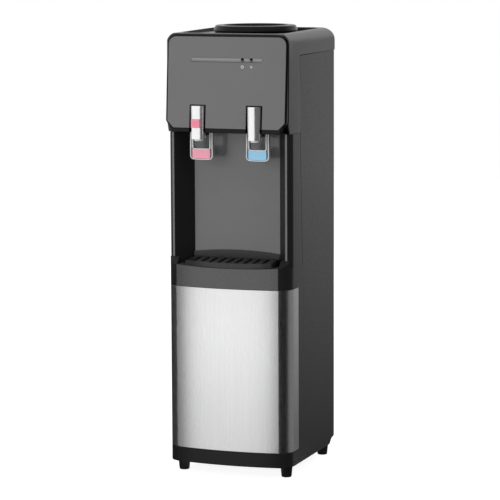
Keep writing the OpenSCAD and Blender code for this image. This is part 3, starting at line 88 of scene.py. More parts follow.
class CoolerSizes(bpy.types.PropertyGroup):
    """Sizes of the finish, such as edge radii and grain, in metres."""

    soft_edge: bpy.props.FloatProperty(
        name="Soft edge", description="Radius of the top cover's edges",
        default=1.2 * MM, min=0.2 * MM, max=2.0 * MM, unit="LENGTH")
    fine_edge: bpy.props.FloatProperty(
        name="Fine edge", description="Radius of the other mouldings' edges",
        default=0.5 * MM, min=0.1 * MM, max=1.0 * MM, unit="LENGTH")
    sheet_edge: bpy.props.FloatProperty(
        name="Sheet edge", description="Radius of the edges of sheets and flat fittings",
        default=0.35 * MM, min=0.1 * MM, max=0.5 * MM, unit="LENGTH")
    mould_grain: bpy.props.FloatProperty(
        name="Mould grain", description="Size of the spark-eroded grain on the matte mouldings",
        default=0.9 * MM, min=0.3 * MM, max=2.0 * MM, unit="LENGTH")
    brush_line: bpy.props.FloatProperty(
        name="Brush line", description="Width of a line in the brushed steel",
        default=0.35 * MM, min=0.1 * MM, max=2.0 * MM, unit="LENGTH")
    print_height: bpy.props.FloatProperty(
        name="Print height", description="Thickness of the printed signs on the head panel",
        default=0.12 * MM, min=0.05 * MM, max=0.3 * MM, unit="LENGTH")
    seam: bpy.props.FloatProperty(
        name="Seam", description="How far the side panels stay back from the frame and the cover",
        default=1.3 * MM, min=0.2 * MM, max=1.5 * MM, unit="LENGTH")


class CoolerColours(bpy.types.PropertyGroup):
    """Colours of the finishes, as sRGB hex values."""

    side_paint: bpy.props.StringProperty(
        name="Side paint", description="Powder coat of the side panels", default="303032")
    cover_grey: bpy.props.StringProperty(
        name="Cover grey", description="Top cover and the head's cheeks", default="38383a")
    panel_grey: bpy.props.StringProperty(
        name="Panel grey", description="Leaning head panel", default="666667")
    bay_grey: bpy.props.StringProperty(
        name="Bay grey", description="Back panel of the cup bay", default="6c6c6d")
    fascia_grey: bpy.props.StringProperty(
        name="Fascia grey", description="Drip tray housing", default="505051")
    tray_grey: bpy.props.StringProperty(
        name="Tray grey", description="Drip tray and its grate", default="323233")
    frame_black: bpy.props.StringProperty(
        name="Frame black", description="Front frame, chin and base", default="202021")
    gloss_black: bpy.props.StringProperty(
        name="Gloss black", description="Bezel of the head", default="0a0a0b")
    collar_black: bpy.props.StringProperty(
        name="Collar black", description="Bottle collar", default="171718")
    hot_pink: bpy.props.StringProperty(
        name="Hot pink", description="Plate of the hot tap's lever", default="f9a8b9")
    cold_blue: bpy.props.StringProperty(
        name="Cold blue", description="Plate of the cold tap's lever", default="99d2f0")


def sizes():
    """The scene's size properties."""
    return bpy.context.scene.cooler_sizes


def colours():
    """The scene's colour properties."""
    return bpy.context.scene.cooler_colours


# Pieces and their meshes


def box(node):
    """The lowest and the highest corner of a CAD node, as arrays."""
    return [np.array(corner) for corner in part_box(node)]


def body_of(node):
    """The CAD body that a node moves with."""
    return frame["nodes"][node]["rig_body"]


def vertices(mesh):
    """A mesh's vertices as an array."""
    points = np.empty(3 * len(mesh.vertices))
    mesh.vertices.foreach_get("co", points)
    return points.reshape(-1, 3)


def placed(name, mesh, finish, body, smooth_angle=35):
    """Links a mesh as an object of that name, with its finish, smooth shading and CAD body."""
    obj = bpy.data.objects.new(name, mesh)
    bpy.context.scene.collection.objects.link(obj)
    mesh.materials.clear()
    mesh.materials.append(MATERIALS[finish])
    mesh.polygons.foreach_set("use_smooth", np.ones(len(mesh.polygons), bool))
    mesh.set_sharp_from_angle(angle=math.radians(smooth_angle))
    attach(obj, body)
    return obj


def surface(name, points, faces, finish, body, smooth_angle=35):
    """Makes an object of a vertex array and a list of face arrays, each of one corner count."""
    points = np.asarray(points, float).reshape(-1, 3)
    mesh = bpy.data.meshes.new(name)
    counts = np.concatenate([np.full(len(f), f.shape[1]) for f in faces]).astype(np.int32)
    corners = np.concatenate([f.ravel() for f in faces]).astype(np.int32)
    starts = np.concatenate([[0], np.cumsum(counts)[:-1]]).astype(np.int32)
    mesh.vertices.add(len(points))
    mesh.vertices.foreach_set("co", points.ravel().astype(np.float32))
    mesh.loops.add(len(corners))
    mesh.loops.foreach_set("vertex_index", corners)
    mesh.polygons.add(len(counts))
    mesh.polygons.foreach_set("loop_start", starts)
    mesh.update(calc_edges=True)
    mesh.validate()
    work = bmesh.new()
    work.from_mesh(mesh)
    bmesh.ops.recalc_face_normals(work, faces=work.faces)
    work.to_mesh(mesh)
    work.free()
    return placed(name, mesh, finish, body, smooth_angle)


def stand_in(node, points, faces, finish, smooth_angle=35):
    """A surface that stands for a CAD node and moves with its body."""
    obj = surface(node + "_dressed", points, faces, finish, body_of(node), smooth_angle)
    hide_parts(node)


def eased(node, finish, width):
    """A copy of a CAD node that stands for it, with its flat triangles joined into whole faces and
    its sharp edges rounded by a bevel of that width."""
    merge_gap, sliver = 0.003 * MM, 0.001 * MM
    flat, sharp = math.radians(0.4), math.radians(30)
    mesh = frame["nodes"][node].data.copy()
    mesh.name = node + "_dressed"
    work = bmesh.new()
    work.from_mesh(mesh)
    bmesh.ops.remove_doubles(work, verts=work.verts, dist=merge_gap)
    bmesh.ops.dissolve_degenerate(work, edges=work.edges, dist=sliver)
    bmesh.ops.dissolve_limit(work, angle_limit=flat, verts=work.verts, edges=work.edges,
                             delimit={"NORMAL"})
    work.to_mesh(mesh)
    work.free()
    for extra in [a.name for a in mesh.attributes if a.name == "custom_normal"]:
        mesh.attributes.remove(mesh.attributes[extra])
    obj = placed(mesh.name, mesh, finish, body_of(node))
    bevel = obj.modifiers.new("Edges", "BEVEL")
    bevel.width = width
    bevel.segments = 3
    bevel.limit_method = "ANGLE"
    bevel.angle_limit = sharp
    bevel.harden_normals = True
    bevel.use_clamp_overlap = True
    bevel.miter_outer = "MITER_ARC"
    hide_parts(node)
    return obj


def eased_all(width, pieces):
    """Eases several CAD nodes by one width. pieces gives each node's finish."""
    for node, finish in pieces.items():
        eased(node, finish, width)


def coat(pieces):
    """Gives CAD nodes that keep their own shape their finishes. pieces gives each node's finish."""
    for node, finish in pieces.items():
        mesh = frame["nodes"][node].data
        mesh.materials.clear()
        mesh.materials.append(MATERIALS[finish])


# Shapes worked out as arrays


def merged(*parts):
    """Several pairs of points and faces as one pair."""
    start = np.cumsum([0] + [len(points) for points, _ in parts])
    return (np.concatenate([points for points, _ in parts]),
            [f + start[k] for k, (_, faces) in enumerate(parts) for f in faces])


def grid_faces(rows, columns, close_rows=False, close_columns=False):
    """Quads between neighbours of a grid of points, wrapped round where a direction is closed."""
    i = np.arange(rows if close_rows else rows - 1)
    j = np.arange(columns if close_columns else columns - 1)
    i, j = [a.ravel() for a in np.meshgrid(i, j, indexing="ij")]
    i2, j2 = (i + 1) % rows, (j + 1) % columns
    return np.stack([i * columns + j, i2 * columns + j, i2 * columns + j2, i * columns + j2], 1)


def tube_faces(rings, around):
    """Quads between closed rings of points, with the first and the last ring filled."""
    ends = np.stack([np.arange(around), (rings - 1) * around + np.arange(around)])
    return [grid_faces(rings, around, False, True), ends]


def turned(profile, centre, segments=96, axis="z"):
    """A closed profile of (radius, height) points turned about an axis through centre.

    A point is centre + radius * (cos t, sin t) across the axis + height along it."""
    profile = np.asarray(profile, float)
    t = np.linspace(0, 2 * np.pi, segments, endpoint=False)[:, None]
    r, h = profile[:, 0][None], profile[:, 1][None]
    across, up = r * np.cos(t), r * np.sin(t)
    high = np.broadcast_to(h, across.shape)
    order = {"x": (high, across, up), "y": (across, high, -up), "z": (across, up, high)}[axis]
    points = np.stack(order, -1) + np.asarray(centre, float)
    return points.reshape(-1, 3), [grid_faces(segments, len(profile), True, True)]


def rectangle(x0, x1, z0, z1):
    """The corners of a rectangle, in order."""
    return [(x0, z0), (x1, z0), (x1, z1), (x0, z1)]


def rounded(corners, radii, steps=5):
    """A closed outline with each corner replaced by an arc of its own radius.

    The arc touches both sides at radius / tan(half the corner's angle) from the corner, or at 0.49
    of the shorter side where that is less. A corner of radius 0, or a straight one, stays."""
    corners = np.asarray(corners, float)
    radii = np.broadcast_to(np.asarray(radii, float), len(corners))
    straight, share = math.radians(89), 0.49
    out = []
    for k, corner in enumerate(corners):
        to_last = corners[k - 1] - corner
        to_next = corners[(k + 1) % len(corners)] - corner
        long_last, long_next = np.linalg.norm(to_last), np.linalg.norm(to_next)
        u, v = to_last / long_last, to_next / long_next
        half = math.acos(float(np.clip(u @ v, -1, 1))) / 2
        if radii[k] <= 0 or half > straight:
            out.append(corner[None])
            continue
        reach = min(radii[k] / math.tan(half), share * long_last, share * long_next)
        radius = reach * math.tan(half)
        centre = corner + (u + v) / np.linalg.norm(u + v) * radius / math.sin(half)
        a, b = corner + u * reach - centre, corner + v * reach - centre
        turn = math.atan2(a[0] * b[1] - a[1] * b[0], a @ b)
        t = np.linspace(0, turn, steps)
        out.append(centre + np.stack([a[0] * np.cos(t) - a[1] * np.sin(t),
                                      a[0] * np.sin(t) + a[1] * np.cos(t)], 1))
    return np.concatenate(out)


def arc(centre_x, centre_y, radius, start, end, steps):
    """Points of a circle's arc between two angles in degrees: centre + radius * (cos t, sin t)."""
    t = np.radians(np.linspace(start, end, steps))
    return np.stack([centre_x + radius * np.cos(t), centre_y + radius * np.sin(t)], 1)


def swept(section, path, outward):
    """A closed section of (out, height) points carried along a plan path, with both ends closed.

    A point is path + outward * out, at its height."""
    section, path, outward = (np.asarray(a, float) for a in (section, path, outward))
    plan = path[:, None] + outward[:, None] * section[None, :, :1]
    high = np.broadcast_to(section[:, 1], plan.shape[:2])
    points = np.concatenate([plan, high[..., None]], 2)
    return points.reshape(-1, 3), tube_faces(*plan.shape[:2])


def extruded(outline, front, back, edge, steps=4):
    """A closed outline of (x, z) points carried from front to back along Y, with rounded edges.

    A ring at angle a from 0 at the face to 90 degrees at the wall is set in by edge * (1 - sin a)
    along the outline's mitred normals, and lies edge * (1 - cos a) behind the face."""
    outline = np.asarray(outline, float)
    turn = outline[:, 0] * np.roll(outline[:, 1], -1) - np.roll(outline[:, 0], -1) * outline[:, 1]
    if turn.sum() < 0:
        outline = outline[::-1]
    ahead = np.roll(outline, -1, 0) - outline
    ahead /= np.linalg.norm(ahead, axis=1, keepdims=True)
    normal = np.stack([-ahead[:, 1], ahead[:, 0]], 1)
    mitre = normal + np.roll(normal, 1, 0)
    mitre /= np.sum(mitre * normal, 1, keepdims=True)
    a = np.linspace(0, np.pi / 2, steps)
    inset = edge * (1 - np.sin(np.concatenate([a, a[::-1]])))
    depth = np.concatenate([front + edge * (1 - np.cos(a)), back - edge * (1 - np.cos(a[::-1]))])
    flat = outline[None] + mitre[None] * inset[:, None, None]
    level = np.broadcast_to(depth[:, None], flat.shape[:2])
    points = np.stack([flat[..., 0], level, flat[..., 1]], -1)
    return points.reshape(-1, 3), tube_faces(*flat.shape[:2])


def pierced_tube(angles, levels, radii, centre, opened):
    """An upright tube with openings in its wall, left open at both ends.

    The outer and the inner wall are grids over angles in degrees and levels, where a point is
    centre + radius * (cos angle, sin angle) at its level. The cells in opened are left out of both
    grids, and quads through the wall line every opening."""
    rows, columns = len(angles), len(levels)
    t = np.radians(angles)[:, None]
    walls = [np.stack([r * np.cos(t) + centre[0] + 0 * levels, r * np.sin(t) + centre[1] + 0 * levels,
                       levels + 0 * t], -1).reshape(-1, 3) for r in radii]
    kept = ~opened
    quads = grid_faces(rows, columns, True)[kept.ravel()]
    step = rows * columns
    faces = [quads, quads[:, ::-1] + step]
    index = np.arange(step).reshape(rows, columns)
    beside = np.roll(index, -1, 0)
    below, above = np.zeros_like(kept), np.zeros_like(kept)
    below[:, 1:] = kept[:, 1:] & opened[:, :-1]
    above[:, :-1] = kept[:, :-1] & opened[:, 1:]
    before, after = kept & np.roll(opened, 1, 0), kept & np.roll(opened, -1, 0)
    for edge, a, b in ((below, index[:, :-1], beside[:, :-1]), (above, index[:, 1:], beside[:, 1:]),
                       (before, index[:, :-1], index[:, 1:]), (after, beside[:, :-1], beside[:, 1:])):
        a, b = a[edge], b[edge]
        faces.append(np.stack([a, b, b + step, a + step], 1))
    return np.concatenate(walls), [f for f in faces if len(f)]


# Materials

# Most values of a noise lie between these two.
NOISE_LOW, NOISE_HIGH = 0.3, 0.7


def linear(code):
    """An sRGB hex value as linear colour, opaque."""
    values = [int(code[k:k + 2], 16) / 255 for k in (0, 2, 4)]
    return tuple(v / 12.92 if v <= 0.04045 else ((v + 0.055) / 1.055) ** 2.4 for v in values) + (1.0,)


def scaled_colour(colour, factor):
    """A linear colour times a factor, at most 1."""
    return tuple(min(1.0, v * factor) for v in colour[:3]) + (1,)


def add(tree, kind, inputs=None, **settings):
    """Adds a node with its settings, and fills its inputs with values or with links from outputs."""
    node = tree.nodes.new("ShaderNode" + kind)
    for name, value in settings.items():
        setattr(node, name, value)
    for name, value in (inputs or {}).items():
        if isinstance(value, bpy.types.NodeSocket):
            tree.links.new(value, node.inputs[name])
        else:
            node.inputs[name].default_value = value
    return node


def new_material(name):
    """A node material with no nodes yet, and its tree."""
    material = bpy.data.materials.new(name)
    material.use_nodes = True
    tree = material.node_tree
    tree.nodes.clear()
    return material, tree


def finish_material(name, code, rough, grain, depth, spread, rough_spread, metallic=0.0,
                    stretch=(1, 1, 1), fixed=None):
    """A surface whose colour, gloss and relief vary by noise of real sizes.

    Colour is the base times 1 plus or minus spread, by a slow noise of 60 mm; roughness wanders
    with a noise of three grains; relief is a noise of one grain, raised by depth. stretch scales
    the noise's place along each axis. fixed holds the shader's own sockets."""
    mottle = 60 * MM
    material, tree = new_material(name)
    place = add(tree, "TexCoord").outputs["Object"]
    scaled = add(tree, "Mapping", {"Vector": place, "Scale": stretch}).outputs["Vector"]
    slow = add(tree, "TexNoise", {"Vector": place, "Scale": 1 / mottle, "Detail": 3.0}).outputs["Fac"]
    fine = add(tree, "TexNoise", {"Vector": scaled, "Scale": 1 / grain, "Detail": 4.0,
                                  "Roughness": 0.6}).outputs["Fac"]
    wander = add(tree, "TexNoise", {"Vector": scaled, "Scale": 1 / (3 * grain),
                                    "Detail": 2.0}).outputs["Fac"]
    base = linear(code)
    tone = add(tree, "Mix", {0: slow, 6: scaled_colour(base, 1 - spread),
                             7: scaled_colour(base, 1 + spread)}, data_type="RGBA").outputs[2]
    gloss = add(tree, "MapRange", {"Value": wander, "From Min": NOISE_LOW, "From Max": NOISE_HIGH,
                                   "To Min": rough - rough_spread, "To Max": rough + rough_spread})
    relief = add(tree, "Bump", {"Height": fine, "Strength": 1.0, "Distance": depth}).outputs["Normal"]
    shader = add(tree, "BsdfPrincipled", {"Base Color": tone, "Roughness": gloss.outputs["Result"],
                                          "Normal": relief, "Metallic": metallic, **(fixed or {})})
    add(tree, "OutputMaterial", {"Surface": shader.outputs["BSDF"]})
    return material


def moulded_abs(name, code, rough, depth=0.02 * MM, level=0.3):
    """Injection-moulded ABS with a spark-eroded grain: an even, low sheen that breaks up highlights.
    The real grain is about 0.2 mm, and is drawn coarser, at the size property, so that it shows. The
    pits of the grain swallow part of the surface reflection, which the specular level stands for."""
    return finish_material(name, code, rough, sizes().mould_grain, depth, 0.05, 0.05,
                           fixed={"Specular IOR Level": level})


def gloss_abs(name, code, rough=0.12, **fixed):
    """Polished plastic, as from a mirror-finished mould: sharp reflections with a faint waviness."""
    return finish_material(name, code, rough, 14 * MM, 0.012 * MM, 0.03, 0.02,
                           fixed={"IOR": 1.5, **fixed})


def powder_coat(name, code, rough=0.4):
    """Powder coat on sheet steel: orange peel of about 1.6 mm and a soft satin sheen."""
    return finish_material(name, code, rough, 1.6 * MM, 0.02 * MM, 0.05, 0.05, fixed={"IOR": 1.48})


def brushed_stainless(name, code, rough):
    """Stainless sheet brushed upright with an abrasive belt: long fine lines, so that highlights
    spread across them. Real lines are 0.05 mm wide, and are drawn wider so that they show."""
    line, along = sizes().brush_line, 0.012
    material, tree = new_material(name)
    place = add(tree, "TexCoord").outputs["Object"]
    drawn_out = add(tree, "Mapping", {"Vector": place, "Scale": (1, 1, along)}).outputs["Vector"]
    lines = add(tree, "TexNoise", {"Vector": drawn_out, "Scale": 1 / line, "Detail": 3.0}).outputs["Fac"]
    bands = add(tree, "TexNoise", {"Vector": drawn_out, "Scale": 1 / (9 * line),
                                   "Detail": 2.0}).outputs["Fac"]
    base = linear(code)
    tone = add(tree, "Mix", {0: bands, 6: scaled_colour(base, 0.9), 7: base},
               data_type="RGBA").outputs[2]
    gloss = add(tree, "MapRange", {"Value": lines, "From Min": NOISE_LOW, "From Max": NOISE_HIGH,
                                   "To Min": rough - 0.05, "To Max": rough + 0.06})
    relief = add(tree, "Bump", {"Height": lines, "Strength": 1.0, "Distance": 0.006 * MM})
    tangent = add(tree, "Tangent", direction_type="RADIAL", axis="Z").outputs["Tangent"]
    shader = add(tree, "BsdfPrincipled", {
        "Base Color": tone, "Metallic": 1.0, "Roughness": gloss.outputs["Result"],
        "Normal": relief.outputs["Normal"], "Tangent": tangent, "Anisotropic": 0.55,
        "Anisotropic Rotation": 0.0})
    add(tree, "OutputMaterial", {"Surface": shader.outputs["BSDF"]})
    return material


def all_materials():
    """Every finish, by the name of what it is."""
    colour = colours()
    dull = "Specular IOR Level"
    return {
        "frame": moulded_abs("moulded_abs_frame_black", colour.frame_black, 0.45, 0.01 * MM, 0.15),
        "base": moulded_abs("moulded_abs_base_black", "141415", 0.5),
        "cover": moulded_abs("moulded_abs_cover_grey", colour.cover_grey, 0.36, 0.012 * MM, 0.5),
        "bay": moulded_abs("moulded_abs_bay_grey", colour.bay_grey, 0.13, 0.0015 * MM, 0.5),
        "fascia": moulded_abs("moulded_abs_fascia_grey", colour.fascia_grey, 0.3, 0.01 * MM, 0.5),
        "tray": moulded_abs("moulded_abs_tray_charcoal", colour.tray_grey, 0.3, 0.01 * MM),
        # The lands down the columns' front edges are light grey: a painted highlight where those edges
        # catch the light.
        "trim": gloss_abs("polished_abs_land_painted_highlight", "6a6a6b", 0.25),
        # Lacquered ABS: a satin grey under a clear coat, with soft highlights.
        "panel": finish_material("lacquered_abs_panel_grey", colour.panel_grey, 0.34, 0.8 * MM,
                                 0.004 * MM, 0.03, 0.03,
                                 fixed={"Coat Weight": 0.3, "Coat Roughness": 0.2}),
        "bezel": gloss_abs("polished_abs_bezel_black", colour.gloss_black, **{dull: 0.2}),
        # The strip's grey is lighter than the panel's: a painted highlight on its face, which leans back
        # towards the top.
        "strip": gloss_abs("polished_abs_strip_grey_painted_highlight", "8c8c8d", 0.3),
        "lamp": gloss_abs("lamp_lens_black", "050505", 0.1, **{dull: 0.04}),
        "collar": gloss_abs("polished_abs_collar_black", colour.collar_black, 0.3, **{dull: 0.12}),
        "side": powder_coat("powder_coat_side_grey", colour.side_paint),
        "rear": powder_coat("powder_coat_rear_black", "2b2b2c", 0.5),
        "steel": brushed_stainless("brushed_stainless_front", "e4e4e5", 0.3),
        "tank": brushed_stainless("drawn_stainless_tank", "c4c5c7", 0.25),
        # Galvanised sheet: a dull metal with cloudy patches.
        "zinc": finish_material("galvanised_sheet", "a4a7aa", 0.42, 6 * MM, 0.01 * MM, 0.2, 0.1, 1.0),
        # Zinc-plated steel: a soft, even metal shine.
        "bright": finish_material("zinc_plated_steel", "c2c4c6", 0.25, 0.8 * MM, 0.004 * MM, 0.08,
                                  0.05, 1.0),
        # Satin chrome: a bright metal with faint upright lines, so highlights blur across them.
        "chrome": finish_material("satin_chrome_sleeve", "f0f0f0", 0.24, 0.5 * MM, 0.002 * MM, 0.03,
                                  0.03, 1.0, stretch=(1, 1, 0.05)),
        # Moulded rubber: black and dull, with hardly a highlight.
        "rubber": finish_material("moulded_rubber_black", "1b1b1b", 0.68, 0.8 * MM, 0.03 * MM, 0.1,
                                  0.08),
        "white": gloss_abs("food_grade_polypropylene_white", "ecebe6", 0.3),
        # Natural nylon: milky white and half matte.
        "nylon": finish_material("natural_nylon", "dcdbd2", 0.45, 1 * MM, 0.01 * MM, 0.05, 0.06),
        # Polycarbonate rim: its whitish colour is a painted highlight for the bright edges of the clear
        # paddle, with a faint clear shine on top.
        "lever": finish_material("polycarbonate_rim_painted_highlight", "f6f8f9", 0.24, 1.2 * MM, 0.006 * MM,
                                 0.03, 0.05, fixed={"IOR": 1.58, "Coat Weight": 0.4,
                                                    "Coat Roughness": 0.08}),
        # Clear polycarbonate: what lies behind it shows through.
        "web": finish_material("clear_polycarbonate_web", "dfe4e6", 0.12, 2 * MM, 0.002 * MM, 0.02,
                               0.03, fixed={"IOR": 1.58, "Transmission Weight": 0.9}),
        "pink": gloss_abs("polished_acrylic_pink", colour.hot_pink, 0.2),
        "blue": gloss_abs("polished_acrylic_blue", colour.cold_blue, 0.2),
        "button": gloss_abs("polished_abs_button_rose", "fa98ac", 0.25),
        # Expanded foam: white and wholly matte, with a coarse relief.
        "foam": finish_material("expanded_foam_white", "eeede8", 0.9, 3 * MM, 0.3 * MM, 0.04, 0.03),
        # Glass fibre: cream, fleecy and matte.
        "jacket": finish_material("glass_fibre_jacket", "e3dfcf", 0.85, 2 * MM, 0.25 * MM, 0.06, 0.05),
        # Drawn copper: a warm metal shine with darker and lighter patches.
        "copper": finish_material("drawn_copper_tube", "b87650", 0.28, 1.5 * MM, 0.004 * MM, 0.12,
                                  0.08, 1.0),
        # Mica: brown and half matte.
        "mica": finish_material("mica_heater_band", "a98f5c", 0.5, 2 * MM, 0.02 * MM, 0.15, 0.1),
        # Enamel: deep black with clear, soft highlights.
        "enamel": finish_material("black_enamel", "1d1d1e", 0.3, 3 * MM, 0.02 * MM, 0.08, 0.06),
        # Coated circuit board: green under a thin shine.
        "board": finish_material("coated_circuit_board", "1f5a33", 0.3, 1.5 * MM, 0.02 * MM, 0.15, 0.08),
        # Silicone: cloudy white, and softened by the light that spreads inside it.
        "hose": finish_material("silicone_hose", "dfded6", 0.4, 2 * MM, 0.01 * MM, 0.04, 0.05,
                                fixed={"Subsurface Weight": 0.2, "Subsurface Scale": 2 * MM}),
        "red": gloss_abs("polished_nylon_rocker_red", "b3221c", 0.25),
        "green": gloss_abs("polished_nylon_rocker_green", "1f7a3a", 0.25),
        # Screen print: a thin film of flat white ink.
        "print": finish_material("screen_print_white", "f2f2f2", 0.5, 0.6 * MM, 0.002 * MM, 0.02, 0.03),
    }


MATERIALS = {}


# Operators


class CoolerOperator:
    """What the operators share: each dresses its own pieces and reports that it is done."""

    bl_options = {"REGISTER", "UNDO"}

    def execute(self, context):
        """Makes the finishes if they aren't there yet, then dresses the pieces."""
        if not MATERIALS:
            MATERIALS.update(all_materials())
        self.dress(context)
        return {"FINISHED"}


class COOLER_OT_stage(CoolerOperator, bpy.types.Operator):
    """Makes the camera, the lights, the floor and the reflection cards"""

    bl_idname = "cooler.stage"
    bl_label = "Stage"

    def dress(self, context):
        """The photograph's camera, soft lamps, a pale floor, cards and a white surround."""
        scene = context.scene
        scene.view_settings.view_transform = "Standard"
        self.camera(scene)
        self.lights(scene)
        self.floor(scene)
        self.cards(scene)
        self.surround(scene)

    def camera(self, scene):
        """The photograph's camera, as fitted to its straight edges.

        It looks back along the direction (sin a cos e, -cos a cos e, sin e) of its azimuth a and
        elevation e, and is turned by its roll about that direction."""
        azimuth, elevation, roll = (math.radians(a) for a in (20.4509, 7.6736, -0.25435))
        back = Vector((math.sin(azimuth) * math.cos(elevation),
                       -math.cos(azimuth) * math.cos(elevation), math.sin(elevation)))
        right = (-back).cross(Vector((0, 0, 1))).normalized()
        up = right.cross(-back)
        across = math.cos(roll) * right + math.sin(roll) * up
        upright = -math.sin(roll) * right + math.cos(roll) * up
        data = bpy.data.cameras.new("camera")
        data.lens = 176.93
        data.sensor_width = 36
        data.clip_start, data.clip_end = 0.1, 50
        camera = bpy.data.objects.new("camera", data)
        scene.collection.objects.link(camera)
        place = Matrix((across, upright, back)).transposed().to_4x4()
        place.translation = Vector((1.85604, -4.98004, 1.19033))
        camera.matrix_world = place
        scene.camera = camera

    def lights(self, scene):
        """Area lamps: place, aim, width, height, power in watts."""
        for name, place, aim, width, height, power in (
                ("key", (-1.5, -2.9, 1.25), (0, 0, 0.6), 1.8, 1.9, 39),
                ("low", (0.5, -2.4, 0.3), (0, 0, 0.7), 1.4, 0.5, 7),
                ("fill", (2.3, -0.9, 2.3), (0, 0, 0.9), 1.2, 1.2, 14),
                ("rear", (-1.2, 2.7, 1.5), (0, 0, 0.5), 1.8, 1.8, 34),
                ("top", (0.2, 0.3, 3.2), (0, 0, 0.9), 1.6, 1.6, 16)):
            data = bpy.data.lights.new(name, "AREA")
            data.shape = "RECTANGLE"
            data.size, data.size_y = width, height
            data.energy = power
            lamp = bpy.data.objects.new(name, data)
            lamp.visible_glossy = False
            lamp.location = place
            lamp.rotation_mode = "QUATERNION"
            lamp.rotation_quaternion = (Vector(aim) - Vector(place)).to_track_quat("-Z", "Y")
            scene.collection.objects.link(lamp)

    def backdrop(self, scene, name, points, faces, material):
        """A mesh that belongs to the stage."""
        mesh = bpy.data.meshes.new(name)
        mesh.from_pydata(points, [], faces)
        mesh.materials.append(material)
        piece = bpy.data.objects.new(name, mesh)
        scene.collection.objects.link(piece)
        return piece

    def floor(self, scene):
        """A wide pale floor that looks white and keeps the object's shadow.

        It glows at 0.9 to the camera. In reflections its glow rises from 0.55 near the object to
        0.9 far away from it: the dimmer ring is a painted shade round the object, which the steel's
        lower part mirrors."""
        half, camera_glow, near_glow, far_glow = 6.0, 0.9, 0.55, 0.9
        near, far = 0.4, 3.0
        material, tree = new_material("pale_floor")
        path = add(tree, "LightPath").outputs
        mirrored = add(tree, "Math", {0: path["Is Glossy Ray"], 1: path["Is Transmission Ray"]},
                       operation="MAXIMUM").outputs[0]
        away = add(tree, "VectorMath", {0: add(tree, "TexCoord").outputs["Object"]},
                   operation="LENGTH").outputs["Value"]
        dimmed = add(tree, "MapRange", {"Value": away, "From Min": near, "From Max": far,
                                        "To Min": near_glow, "To Max": far_glow}).outputs["Result"]
        reflected = add(tree, "Math", {0: mirrored, 1: dimmed}, operation="MULTIPLY").outputs[0]
        direct = add(tree, "Math", {0: path["Is Camera Ray"], 1: camera_glow},
                     operation="MULTIPLY").outputs[0]
        strength = add(tree, "Math", {0: direct, 1: reflected}, operation="ADD").outputs[0]
        glow = add(tree, "Emission", {"Color": (1, 1, 1, 1), "Strength": strength}).outputs[0]
        matte = add(tree, "BsdfDiffuse", {"Color": linear("b4b4b4")}).outputs[0]
        both = add(tree, "AddShader", {0: matte, 1: glow}).outputs[0]
        add(tree, "OutputMaterial", {"Surface": both})
        points = [(-half, -half, 0), (half, -half, 0), (half, half, 0), (-half, half, 0)]
        self.backdrop(scene, "floor", points, [(0, 1, 2, 3)], material)

    def cards(self, scene):
        """Cards that only reflections see, so that bright metal and gloss black have something dark
        to show, as in a studio. Each is part of an upright cylinder with a strip of floor inside it:
        start and end azimuth in degrees from the front to the right, upper edge, and a brightness
        that rises from one height to another."""
        inner, outer, low_edge, stations = 0.15, 0.34, 0.002, 25
        for name, start, end, high_edge, dark_to, bright_from, low_glow, high_glow in (
                ("card_right", 20, 67, 1.2, 0.45, 0.75, 0.012, 0.14),
                ("card_side", 67, 118, 1.2, 0.0, 1.2, 0.2, 0.26),
                ("card_rear", 118, 212, 0.957, 0.0, 0.65, 0.13, 0.6),
                ("card_left", -120, -36, 0.65, 0.4, 0.65, 0.03, 0.9)):
            material, tree = new_material(name)
            height = add(tree, "SeparateXYZ", {0: add(tree, "TexCoord").outputs["Object"]}).outputs["Z"]
            glow = add(tree, "MapRange", {"Value": height, "From Min": dark_to, "From Max": bright_from,
                                          "To Min": low_glow, "To Max": high_glow}).outputs["Result"]
            add(tree, "OutputMaterial", {"Surface": add(tree, "Emission", {"Strength": glow}).outputs[0]})
            t = np.radians(np.linspace(start, end, stations))
            edges = [np.stack([r * np.sin(t), -r * np.cos(t), np.full_like(t, z)], 1)
                     for r, z in ((inner, low_edge), (outer, low_edge), (outer, high_edge))]
            points = np.stack(edges, 1).reshape(-1, 3).tolist()
            faces = grid_faces(stations, len(edges)).tolist()
            card = self.backdrop(scene, name, points, faces, material)
            for ray in ("camera", "diffuse", "shadow", "transmission", "volume_scatter"):
                setattr(card, "visible_" + ray, False)

    def surround(self, scene):
        """A white surround for what the eye and reflections see, and a softer one that lights."""
        world = bpy.data.worlds.new("surround")
        scene.world = world
        world.use_nodes = True
        tree = world.node_tree
        tree.nodes.clear()
        path = add(tree, "LightPath").outputs
        seen = add(tree, "Math", {0: path["Is Camera Ray"], 1: path["Is Glossy Ray"]},
                   operation="MAXIMUM").outputs[0]
        shown = add(tree, "Math", {0: seen, 1: path["Is Transmission Ray"]},
                    operation="MAXIMUM").outputs[0]
        strength = add(tree, "MapRange", {"Value": shown, "To Min": 0.35, "To Max": 1.0}).outputs[0]
        glow = add(tree, "Background", {"Color": (1, 1, 1, 1), "Strength": strength}).outputs[0]
        add(tree, "OutputWorld", {"Surface": glow})


